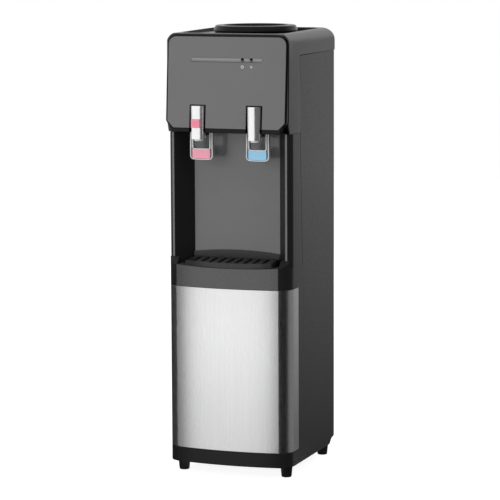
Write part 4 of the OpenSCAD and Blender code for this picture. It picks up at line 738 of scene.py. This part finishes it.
class COOLER_OT_cabinet(CoolerOperator, bpy.types.Operator):
    """Dresses the front frame, the side panels, the base pan and the feet"""

    bl_idname = "cooler.cabinet"
    bl_label = "Cabinet"

    def dress(self, context):
        """Mouldings and sheets with fine edges, and feet."""
        size = sizes()
        self.frame_sides(eased("front_frame", "frame", size.fine_edge).data)
        eased("base_pan", "base", size.fine_edge)
        for side in ("left", "right"):
            self.side_panel("side_panel_" + side, size)
        self.feet()

    def frame_sides(self, mesh):
        """Paints the outer sides of the black frame like the side panels."""
        outermost, sideways = 139 * MM, 0.97
        count = len(mesh.polygons)
        normal, centre = np.empty(count * 3), np.empty(count * 3)
        mesh.polygons.foreach_get("normal", normal)
        mesh.polygons.foreach_get("center", centre)
        at_side = (np.abs(normal[::3]) > sideways) & (np.abs(centre[::3]) > outermost)
        mesh.materials.append(MATERIALS["side"])
        mesh.polygons.foreach_set("material_index", at_side.astype(np.int32))

    def side_panel(self, node, size):
        """A side panel, drawn back by the seam at its front and top edges.

        A dark line shows there. The top edge's last 20 mm stay, so the line thins out to the rear."""
        near, corner = 0.5 * MM, 20 * MM
        mesh = eased(node, "side", size.sheet_edge).data
        points = vertices(mesh)
        low, high = box(node)
        points[:, 1] += size.seam * (points[:, 1] < low[1] + near)
        points[:, 2] -= size.seam * ((points[:, 2] > high[2] - near) & (points[:, 1] < high[1] - corner))
        mesh.vertices.foreach_set("co", points.ravel())
        mesh.update()

    def feet(self):
        """Four feet turned from one profile: a round sole, a slight taper and a rounded shoulder."""
        low, high = box("feet")
        radius = 13.5 * MM
        profile = rounded([(0, 0), (9.2, 0), (10.9, 1), (13, 22.5), (13.5, 27), (4, 27), (4, 40.9),
                           (0, 40.9)], [0, 1.2, 1.5, 2, 0.8, 0.4, 0.6, 0], 4) * MM
        sites = [(x, y, 0) for x in (low[0] + radius, high[0] - radius)
                 for y in (low[1] + radius, high[1] - radius)]
        stand_in("feet", *merged(*[turned(profile, site, segments=48) for site in sites]), "rubber")


class COOLER_OT_steel_front(CoolerOperator, bpy.types.Operator):
    """Dresses the stainless panel"""

    bl_idname = "cooler.steel_front"
    bl_label = "Steel front"

    def dress(self, context):
        """A sheet bent to the crown of the front and round both corners, brushed upright.

        The crown is a circle of 620 mm, and each corner one of 36.5 mm that meets it in a crease."""
        low, high = box("steel_panel")
        crown_r, corner_r, crease_in = 620 * MM, 36.5 * MM, 24 * MM
        inset, skin, edge = 0.004 * MM, 1 * MM, 0.45 * MM
        crease_x = high[0] - crease_in
        crown_y = low[1] + crown_r
        crease_y = crown_y - math.sqrt(crown_r ** 2 - crease_x ** 2)
        corner_x = high[0] - corner_r
        corner_y = crease_y + math.sqrt(corner_r ** 2 - (crease_x - corner_x) ** 2)
        crown_end = math.asin(crease_x / crown_r)
        corner_start = math.asin((crease_x - corner_x) / corner_r)
        crown, corner = (np.stack([np.sin(t), -np.cos(t)], 1) for t in (
            np.linspace(0, crown_end, 33), np.linspace(corner_start, math.pi / 2, 21)[1:]))
        right = np.concatenate([(0, crown_y) + crown_r * crown, (corner_x, corner_y) + corner_r * corner,
                                [[high[0], high[1]]]])
        outward = np.concatenate([crown, corner, [[1, 0]]])
        path, outward = (np.concatenate([a[:0:-1] * (-1, 1), a]) for a in (right, outward))
        section = rounded(rectangle(-inset, -skin, low[2], high[2]), edge, steps=16)
        stand_in("steel_panel", *swept(section, path, outward), "steel", smooth_angle=6)


class COOLER_OT_bay(CoolerOperator, bpy.types.Operator):
    """Dresses the cup bay's back, lands and ceiling"""

    bl_idname = "cooler.bay"
    bl_label = "Cup bay"

    def dress(self, context):
        """Plain mouldings."""
        # The column trims' light grey is a painted highlight along the columns' front edges.
        eased_all(sizes().sheet_edge, {"bay_back": "bay", "column_trims": "trim", "head_chin": "frame"})


class COOLER_OT_tray(CoolerOperator, bpy.types.Operator):
    """Dresses the tray housing, the drip tray and the grate"""

    bl_idname = "cooler.tray"
    bl_label = "Drip tray"

    def dress(self, context):
        """Mouldings with fine edges."""
        eased_all(sizes().fine_edge, {"tray_housing": "fascia", "drip_tray": "tray",
                                      "drip_grate": "tray"})


class COOLER_OT_head(CoolerOperator, bpy.types.Operator):
    """Dresses the head: cover, bezel, panel, strip and lamps"""

    bl_idname = "cooler.head"
    bl_label = "Head"

    # The panel leans back about its foot, and the strip's middle lies strip_up along its face.
    lean = math.radians(4.08)
    foot = np.array([0, -149.3, 751.5]) * MM
    strip_up = 144.8 * MM

    def dress(self, context):
        """Gloss and satin mouldings, the signs, and the board and plate behind them."""
        size = sizes()
        eased("top_cover", "cover", size.soft_edge)
        self.bezel()
        eased("head_panel", "panel", size.fine_edge)
        self.strip()
        self.lamps()
        coat({"control_board": "board", "tap_plate": "zinc"})
        self.signs(size.print_height)

    def leaning(self, points):
        """Points of (across, depth behind the panel's face, height up the face) in the frame's axes."""
        x, d, w = points[:, 0], points[:, 1], points[:, 2]
        c, s = math.cos(self.lean), math.sin(self.lean)
        return np.stack([x, d * c + w * s, w * c - d * s], 1) + self.foot

    def bezel(self):
        """The bezel: a rounded band round the panel, cut open at each tap, with a hoop behind each
        opening. Its numbers are in mm across, behind and up the panel's face."""
        reach = box("head_bezel")[1][0] / MM
        taps, notch, foot, panel_foot = 63.7, 18.3, -9.5, -0.3
        outer = self.right_half(taps + notch, reach, foot, top=199.5, chamfer=14, chamfer_top=15,
                                corner=24)
        inner = self.right_half(taps + notch, reach - 3.7, panel_foot, top=193.8, chamfer=14.4,
                                chamfer_top=14, corner=17.3)
        ring = self.band(*(np.concatenate([a, a[::-1] * (-1, 1)]) for a in (outer, inner)))
        span = np.array([[notch - taps, 0], [0, 0], [taps - notch, 0]])
        parts = [ring, self.band(span + (0, foot), span + (0, panel_foot))]
        tall, rim, low_end, front, back = 59.5, 4, -1, 2.9, 14
        wide = notch + rim
        for x in (-taps, taps):
            hoop = [(x - wide, low_end), (x - wide, tall + rim), (x + wide, tall + rim),
                    (x + wide, low_end), (x + notch, low_end), (x + notch, tall), (x - notch, tall),
                    (x - notch, low_end)]
            outline = rounded(hoop, [0.5, 2, 2, 0.5, 0.3, 1, 1, 0.3], 4)
            parts.append(extruded(outline, front, back, edge=0.3))
        points, faces = merged(*parts)
        stand_in("head_bezel", self.leaning(points * MM), faces, "bezel", smooth_angle=30)

    def right_half(self, start, reach, foot, top, chamfer, chamfer_top, corner):
        """The right half of an outline: the foot from start on, a chamfer, the side and a corner."""
        side = np.linspace(chamfer_top, top - corner, 12)[:, None]
        return np.concatenate([
            [[start, foot], [reach - chamfer, foot]],
            np.linspace([reach - chamfer, foot], [reach, chamfer_top], 6)[1:],
            np.hstack([np.full_like(side, reach), side])[1:-1],
            arc(reach - corner, top - corner, corner, 0, 90, 19)])

    def band(self, outer, inner):
        """A strip of the bezel between matched outer and inner points, in mm, with closed ends.

        Every station has the same section, measured from its outer point: the wall, a quarter
        circle of 3.2 mm, the face, and the seat behind the panel. The wall steps in by 2 mm at the
        depth where the cover's cheeks begin. That depth is 11.9 mm at a height of 15 mm, and less by
        0.0466 mm for each mm above it, down to 3.4 mm."""
        step, bend, lip, seat, seat_width, back = 2, 3.2, 0.25, 2.8, 5.3, 14
        across = inner - outer
        width = np.linalg.norm(across, axis=1, keepdims=True)
        across = across / width
        wall = np.clip(11.9 - (outer[:, 1:] - 15) * 0.0466, 3.4, back)
        full = np.ones_like(width)
        stations = [(step * full, back * full), (step * full, wall), (0 * full, wall)]
        stations += [(bend * (1 - math.cos(t)) * full, bend * (1 - math.sin(t)) * full)
                     for t in np.radians(np.linspace(0, 90, 7))]
        stations += [(width - lip, 0 * full), (width, lip * full), (width, seat * full),
                     (width + seat_width, seat * full), (width + seat_width, back * full)]
        inset, depth = (np.concatenate(column, 1) for column in zip(*stations))
        flat = outer[:, None] + across[:, None] * inset[..., None]
        points = np.stack([flat[..., 0], depth, flat[..., 1]], -1)
        return points.reshape(-1, 3), tube_faces(*depth.shape)

    def strip(self):
        """The indicator strip: a face that leans back towards the top, over a narrow shadow groove.

        In depth and height from the strip's middle, in mm, the face runs from (0.45, 3.9) down to
        (-0.5, -1.2), and the groove is 1.5 deep from -2 down."""
        low, high = box("indicator_strip")
        gap = 0.2 * MM
        section = rounded([(6, 3.9), (0.45, 3.9), (-0.5, -1.2), (1.5, -2), (1.5, -3.9), (6, -3.9)],
                          [0.1, 0.3, 0.25, 0.2, 0.2, 0.1], 3) * MM + (0, self.strip_up)
        points = np.concatenate([np.column_stack([np.full(len(section), x), section])
                                 for x in (low[0] + gap, high[0] - gap)])
        faces = tube_faces(2, len(section))
        # The strip's finish is lighter than the panel's, a painted highlight on the leaning face.
        stand_in("indicator_strip", self.leaning(points), faces, "strip", smooth_angle=20)

    def lamp_places(self):
        """The middles of the two lamps across the panel, the hot one first."""
        low, high = box("indicator_lamps")
        half = 2 * MM
        return low[0] + half, high[0] - half

    def lamps(self):
        """Two dark lenses, each a shallow dome of 2.2 mm radius in a raised ring of 3.6 mm radius."""
        profile = np.array([(0, -0.6), (0.8, -0.55), (1.5, -0.4), (2.2, -0.1), (2.5, -0.6),
                            (2.7, -0.75), (3.3, -0.75), (3.6, -0.4), (3.6, 3), (2, 3), (2, 8),
                            (0, 8)]) * MM
        up = self.strip_up + 0.6 * MM
        points, faces = merged(*[turned(profile, (x, 0, up), segments=40, axis="y")
                                 for x in self.lamp_places()])
        stand_in("indicator_lamps", self.leaning(points), faces, "lamp")

    def signs(self, height):
        """Two printed signs below the lamps: a power sign for hot and a snow star for cold."""
        hot, cold = self.lamp_places()
        up, sunk = self.strip_up - 14 * MM, 0.05 * MM
        bar = rounded(rectangle(-0.45, 0.45, 0.4, 3.7), 0.15, 3) * MM
        ring = np.concatenate([arc(0, 0, 3.2, 60, -240, 25), arc(0, 0, 2.2, -240, 60, 25)]) * MM
        spoke = rounded(rectangle(-0.27, 0.27, 0, 2.8), 0.12, 3) * MM
        twig = rounded([(-0.95, 2.25), (-0.75, 2.45), (0, 1.7), (0.75, 2.45), (0.95, 2.25), (0, 1.25)],
                       0.05, 2) * MM
        marks = [(ring, hot, 0), (bar, hot, 0)]
        for turn in range(0, 360, 60):
            marks += [(spoke, cold, turn), (twig, cold, turn)]
        parts = []
        for outline, across, turn in marks:
            c, s = math.cos(math.radians(turn)), math.sin(math.radians(turn))
            outline = outline @ np.array([[c, s], [-s, c]]) + (across, up)
            points, faces = extruded(outline, -height, sunk, edge=0.03 * MM, steps=2)
            parts.append((self.leaning(points), faces))
        surface("head_signs", *merged(*parts), "print", body_of("head_panel"))


class COOLER_OT_collar(CoolerOperator, bpy.types.Operator):
    """Dresses the bottle collar and the water guard"""

    bl_idname = "cooler.collar"
    bl_label = "Bottle collar"

    def dress(self, context):
        """The collar turned from a profile of (radius, height) in mm, and eased mouldings."""
        profile = rounded(
            [(83.7, 930.3), (83.7, 946.3), (86.5, 946.3), (91.98, 951.5), (87.4, 961.2), (85.2, 962.6),
             (72, 963), (69.6, 962), (68, 957), (66, 943), (66, 933), (62, 933), (62, 930.05),
             (70, 930.05), (70, 942.3), (81, 942.3), (81, 930.3)],
            [0.4, 0.2, 0.8, 1.6, 2.5, 2, 1.5, 2.5, 4, 6, 0.4, 0.4, 0.4, 0.4, 0.4, 0.4, 0.4], 6) * MM
        axis = (0, 38.5 * MM, 0)
        stand_in("bottle_collar", *turned(profile, axis, segments=160), "collar")
        eased_all(sizes().fine_edge, {"water_guard": "white", "feed_probe": "white"})


class COOLER_OT_taps(CoolerOperator, bpy.types.Operator):
    """Dresses the taps, their levers and the child lock button"""

    bl_idname = "cooler.taps"
    bl_label = "Taps"

    def dress(self, context):
        """Both taps alike, with the button on the hot one."""
        size = sizes()
        for side, plate in (("hot", "pink"), ("cold", "blue")):
            eased(side + "_tap_body", "frame", size.fine_edge)
            self.sleeve(side)
            eased(side + "_spout", "white", size.fine_edge)
            self.lever(side)
            self.plate(side, plate)
            coat({side + "_plunger": "nylon"})
            self.spring(side)
        eased("child_lock_button", "button", size.fine_edge)
        coat({"tap_nuts": "nylon"})

    def spring(self, side):
        """The valve spring, eased, with a mesh of its own."""
        node, travel, wire_edge = side + "_valve_spring", 5 * MM, 0.1 * MM
        spring = eased(node, "bright", wire_edge)
        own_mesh(spring)

    def sleeve(self, side):
        """A drawn round sleeve with a rounded crown, a slot at the back and, on the hot tap, a window.

        The wall is a pierced tube, and the foot and the crown are turned."""
        node = side + "_tap_sleeve"
        low, high = box(node)
        middle = (low + high) / 2
        centre = (middle[0], middle[1], 0)
        radius = (high[0] - low[0]) / 2
        bore, tip = radius - 1.8 * MM, 0.01 * MM
        wall_low, wall_high, ceiling = low[2] + 0.4 * MM, high[2] - 1.2 * MM, high[2] - 2.5 * MM
        foot_edge, crown_edge, inner_edge = 0.35 * MM, 1.1 * MM, 0.3 * MM
        back, front, full_turn, arc_step = 90, 270, 360, 3.5
        slot_half, window_half = math.degrees(math.asin(3.4 / 16)), 37.8
        slot, window = (748 * MM, 766 * MM), (752.2 * MM, 770.8 * MM)
        breaks = [back + slot_half, front - window_half, front + window_half,
                  back + full_turn - slot_half]
        turns = [np.linspace(back - slot_half, back + slot_half, 5)]
        for start, end in zip(breaks[:-1], breaks[1:]):
            turns.append(np.linspace(start, end, 1 + round((end - start) / arc_step))[1:])
        angles = np.unique(np.concatenate(turns))[:-1]
        levels = np.sort([wall_low, *slot, *window, wall_high])
        between = (angles + np.append(angles[1:], angles[0] + full_turn)) / 2
        height = (levels[:-1] + levels[1:]) / 2
        opened = np.zeros((len(between), len(height)), bool)
        openings = [(back, slot_half, slot)]
        if side == "hot":
            openings.append((front, window_half, window))
        for way, half, (bottom, top) in openings:
            opened |= (np.abs(between - way)[:, None] < half) & (height > bottom) & (height < top)
        foot = rounded([(radius, wall_low), (radius, low[2]), (bore, low[2]), (bore, wall_low)],
                       [0, foot_edge, foot_edge, 0], 4)
        cap = rounded([(radius, wall_high), (radius, high[2]), (tip, high[2]), (tip, ceiling),
                       (bore, ceiling), (bore, wall_high)], [0, crown_edge, 0, 0, inner_edge, 0], 6)
        wall = pierced_tube(angles, levels, (radius, bore), centre, opened)
        stand_in(node, *merged(wall, turned(foot, centre), turned(cap, centre)), "chrome")

    def lever(self, side):
        """A paddle: a U-shaped frame with rounded lower corners and a slightly bowed lower edge, whose
        arms round off about the pivot, with the pivot pin, its hub and the tongue that lifts the
        valve. A clear web fills the frame.

        The lower edge rises by sag * (x / half the width) squared."""
        node = side + "_lever"
        low, high = box(node)
        x0, half = (low[0] + high[0]) / 2, (high[0] - low[0]) / 2
        arm, depth, rim, edge = 6.6 * MM, 12 * MM, 1.5 * MM, 0.5 * MM
        bend, fillet, sag, stations = 8 * MM, 3 * MM, 0.9 * MM, 8
        pivot = np.array([x0, high[1] - depth / 2, high[2] - depth / 2])
        front, back = pivot[1] - depth / 2, pivot[1] + depth / 2
        rail = low[2] + 23.9 * MM
        bow = np.linspace(half - bend, bend - half, 13)
        lower = np.stack([bow, low[2] + sag * (bow / half) ** 2], 1)
        fall = np.linspace(pivot[2], high[2] - 0.02 * MM, stations)[::-1]
        side_line = np.stack([np.full(stations, half), fall], 1)
        inner_line = np.stack([np.full(stations, half - arm), fall], 1)
        corner = arc(half - bend, low[2] + 8.5 * MM, bend, 0, -90, 9)
        hollow = arc(half - arm - fillet, rail + fillet, fillet, 0, -90, 6)
        right = np.concatenate([side_line, corner])
        outer = np.concatenate([right, lower[1:-1], right[::-1] * (-1, 1)]) + (x0, 0)
        inner = np.concatenate([inner_line, hollow])
        inner = np.concatenate([inner * (-1, 1), inner[::-1]]) + (x0, 0)
        parts = []
        for line in (outer, inner):
            along = np.gradient(line, axis=0)
            along /= np.linalg.norm(along, axis=1, keepdims=True)
            offset = line - np.stack([-along[:, 1], along[:, 0]], 1) * rim
            parts.append(extruded(np.concatenate([line, offset[::-1]]), front, back, edge, steps=3))
        arms, arm_faces = merged(*parts)
        self.round_off(arms, pivot, depth / 2, most=0.9999)
        web, web_faces = extruded(np.concatenate([outer, inner]), pivot[1] - 1 * MM,
                                  pivot[1] + 4 * MM, edge=0.4 * MM, steps=3)
        self.round_off(web, pivot, depth / 2, most=0.9)
        surface(node + "_web", web, web_faces, "web", body_of(node), smooth_angle=40)
        hub_half, tongue_low, tongue_high = 2.8 * MM, pivot[2] - 2 * MM, pivot[2] + 1.7 * MM
        pin = self.rod(pivot, radius=2 * MM, reach=half - 0.5 * MM, segments=24)
        hub = self.rod(pivot, radius=4.6 * MM, reach=hub_half, segments=32)
        tongue = extruded(rectangle(x0 - hub_half, x0 + hub_half, tongue_low, tongue_high),
                          low[1], pivot[1], edge=0.4 * MM)
        # The rim's whitish finish is a painted highlight for the bright edges of the clear paddle.
        stand_in(node, *merged((arms, arm_faces), pin, hub, tongue), "lever", smooth_angle=40)

    def round_off(self, points, pivot, radius, most):
        """Scales the depth of points above the pivot by the root of 1 - (height / radius) squared,
        where height / radius counts as at most the given part."""
        above = np.clip((points[:, 2] - pivot[2]) / radius, 0, most)
        points[:, 1] = pivot[1] + (points[:, 1] - pivot[1]) * np.sqrt(1 - above ** 2)

    def rod(self, pivot, radius, reach, segments):
        """A round rod along the pivot's axis, which reaches as far to both sides."""
        profile = [(0, -reach), (radius, -reach), (radius, reach), (0, reach)]
        return turned(profile, pivot, segments, "x")

    def plate(self, side, finish):
        """The coloured plate, a rounded rectangle that stands proud of the paddle's face."""
        node = side + "_lever_plate"
        low, high = box(node)
        inset, foot_r, top_r, edge = 0.5 * MM, 4 * MM, 1.5 * MM, 0.6 * MM
        front = low[1] - 0.7 * MM
        corners = rectangle(low[0] + inset, high[0] - inset, low[2] + 1 * MM, high[2] - 0.3 * MM)
        outline = rounded(corners, [foot_r, foot_r, top_r, top_r], steps=7)
        stand_in(node, *extruded(outline, front, high[1], edge, steps=5), finish, smooth_angle=40)


class COOLER_OT_rear(CoolerOperator, bpy.types.Operator):
    """Dresses the rear panel, grille, condenser, switches, drain, gland and screws"""

    bl_idname = "cooler.rear"
    bl_label = "Rear"

    def dress(self, context):
        """Sheets with fine edges and small fittings, and the ledge that closes the rear recess."""
        size = sizes()
        eased("rear_panel", "rear", size.sheet_edge)
        self.ledge()
        eased("rear_grille", "rear", size.sheet_edge)
        coat({"condenser": "enamel"})
        eased_all(size.sheet_edge, {"switch_plate": "frame", "hot_switch": "red", "cold_switch": "green",
                                 "drain_cap": "white", "drain_spout": "white"})
        eased("cord_gland", "rubber", size.fine_edge)
        self.screws()

    def ledge(self):
        """Two slabs on the rear panel's top that reach the cover's skirt and close the slot there."""
        low, high = box("rear_panel")
        thick, edge, front = 1.2 * MM, 0.3 * MM, low[1] + 0.2 * MM
        slabs = []
        for x, back, bottom in ((high[0] - 0.4 * MM, high[1] - 0.2 * MM, high[2] - 1.3 * MM),
                                (high[0] - 1.4 * MM, high[1] + 4.1 * MM, high[2] + 0.1 * MM)):
            slabs.append(extruded(rectangle(-x, x, bottom, bottom + thick), front, back, edge))
        surface("rear_panel_ledge", *merged(*slabs), "rear", body_of("rear_panel"))

    def screws(self):
        """Pan-head screws with a cross recess, in mm.

        A head is a disc whose face lies at 1.9 mm * (1 - (r / 3.6 mm) ** 4 / 3), less a recess of
        1.1 mm where a point lies within half a slot's width of either arm of the cross."""
        high = box("rear_screws")[1]
        tip, shank_r, head_r, seat, shank_end, turns = 0.02, 1.9, 3.6, 0.3, -7.5, 48
        crown, recess_depth, slot_half, arm_end, slot_wall, end_wall = 1.9, 1.1, 0.55, 2.1, 0.25, 0.4
        r = np.concatenate([np.linspace(tip, 2.2, 16), np.linspace(2.4, 3.3, 4),
                            [3.5, head_r, head_r, shank_r, shank_r, tip]])
        t = np.linspace(0, 2 * np.pi, turns, endpoint=False)[:, None]
        x, z = r * np.cos(t), r * np.sin(t)
        face = crown * (1 - (r / head_r) ** 4 / 3)
        slot = np.minimum(np.abs(x), np.abs(z))
        reach = np.maximum(np.abs(x), np.abs(z))
        sunk = np.clip((slot_half - slot) / slot_wall, 0, 1) * np.clip((arm_end - reach) / end_wall, 0, 1)
        y = seat + face - recess_depth * sunk
        y[:, -4:-2] = seat
        y[:, -2:] = shank_end
        shape = np.stack([x, y, z], -1).reshape(-1, 3) * MM
        faces = [grid_faces(turns, len(r), True)]
        base = high[1] - 2.2 * MM
        heads = [(shape + (across, base, up), faces) for across, up in self.screw_places(high)]
        stand_in("rear_screws", *merged(*heads), "bright", smooth_angle=40)

    def screw_places(self, high):
        """The middles of the CAD's screw heads in X and Z, found from the node's own vertices.

        On each side, a gap of more than 5 mm in height parts one head from the next."""
        near, gap = 0.1 * MM, 5 * MM
        points = vertices(frame["nodes"]["rear_screws"].data)
        rim = points[points[:, 1] > high[1] - near]
        places = []
        for side in (-1, 1):
            mine = rim[np.sign(rim[:, 0]) == side]
            mine = mine[np.argsort(mine[:, 2])]
            for head in np.split(mine, np.flatnonzero(np.diff(mine[:, 2]) > gap) + 1):
                places.append(((head[:, 0].min() + head[:, 0].max()) / 2,
                               (head[:, 2].min() + head[:, 2].max()) / 2))
        return places


class COOLER_OT_insides(CoolerOperator, bpy.types.Operator):
    """Dresses the tanks, insulation, compressor, lines and hoses"""

    bl_idname = "cooler.insides"
    bl_label = "Insides"

    def dress(self, context):
        """Inner pieces keep their shapes and get their own finishes."""
        coat({"cold_tank": "tank", "hot_tank": "tank", "cold_tank_foam": "foam",
              "hot_tank_jacket": "jacket", "evaporator_coil": "copper", "refrigerant_lines": "copper",
              "reservoir_lid": "white", "heater_band": "mica", "tank_shelves": "zinc",
              "compressor": "enamel", "compressor_grommets": "rubber", "water_hoses": "hose"})


OPERATORS = (COOLER_OT_stage, COOLER_OT_cabinet, COOLER_OT_steel_front, COOLER_OT_bay, COOLER_OT_tray,
             COOLER_OT_head, COOLER_OT_collar, COOLER_OT_taps, COOLER_OT_rear, COOLER_OT_insides)


class COOLER_PT_panel(bpy.types.Panel):
    """Lists the cooler's operators, sizes and colours in the sidebar"""

    bl_idname = "COOLER_PT_panel"
    bl_label = "Water cooler"
    bl_space_type = "VIEW_3D"
    bl_region_type = "UI"
    bl_category = "Cooler"

    def draw(self, context):
        """One button for each operator, then the sizes and the colours."""
        for operator in OPERATORS:
            self.layout.operator(operator.bl_idname)
        for group in (context.scene.cooler_sizes, context.scene.cooler_colours):
            for name in group.__annotations__:
                self.layout.prop(group, name)


CLASSES = (CoolerSizes, CoolerColours) + OPERATORS + (COOLER_PT_panel,)


def register():
    """Registers the classes and hangs the properties on the scene."""
    for cls in CLASSES:
        bpy.utils.register_class(cls)
    bpy.types.Scene.cooler_sizes = bpy.props.PointerProperty(type=CoolerSizes)
    bpy.types.Scene.cooler_colours = bpy.props.PointerProperty(type=CoolerColours)


def unregister():
    """Takes the properties and classes away again."""
    del bpy.types.Scene.cooler_sizes
    del bpy.types.Scene.cooler_colours
    for cls in reversed(CLASSES):
        bpy.utils.unregister_class(cls)


def main():
    """Runs every operator in order."""
    register()
    for operator in OPERATORS:
        group, name = operator.bl_idname.split(".")
        getattr(getattr(bpy.ops, group), name)()


if __name__ == "__main__":
    main()
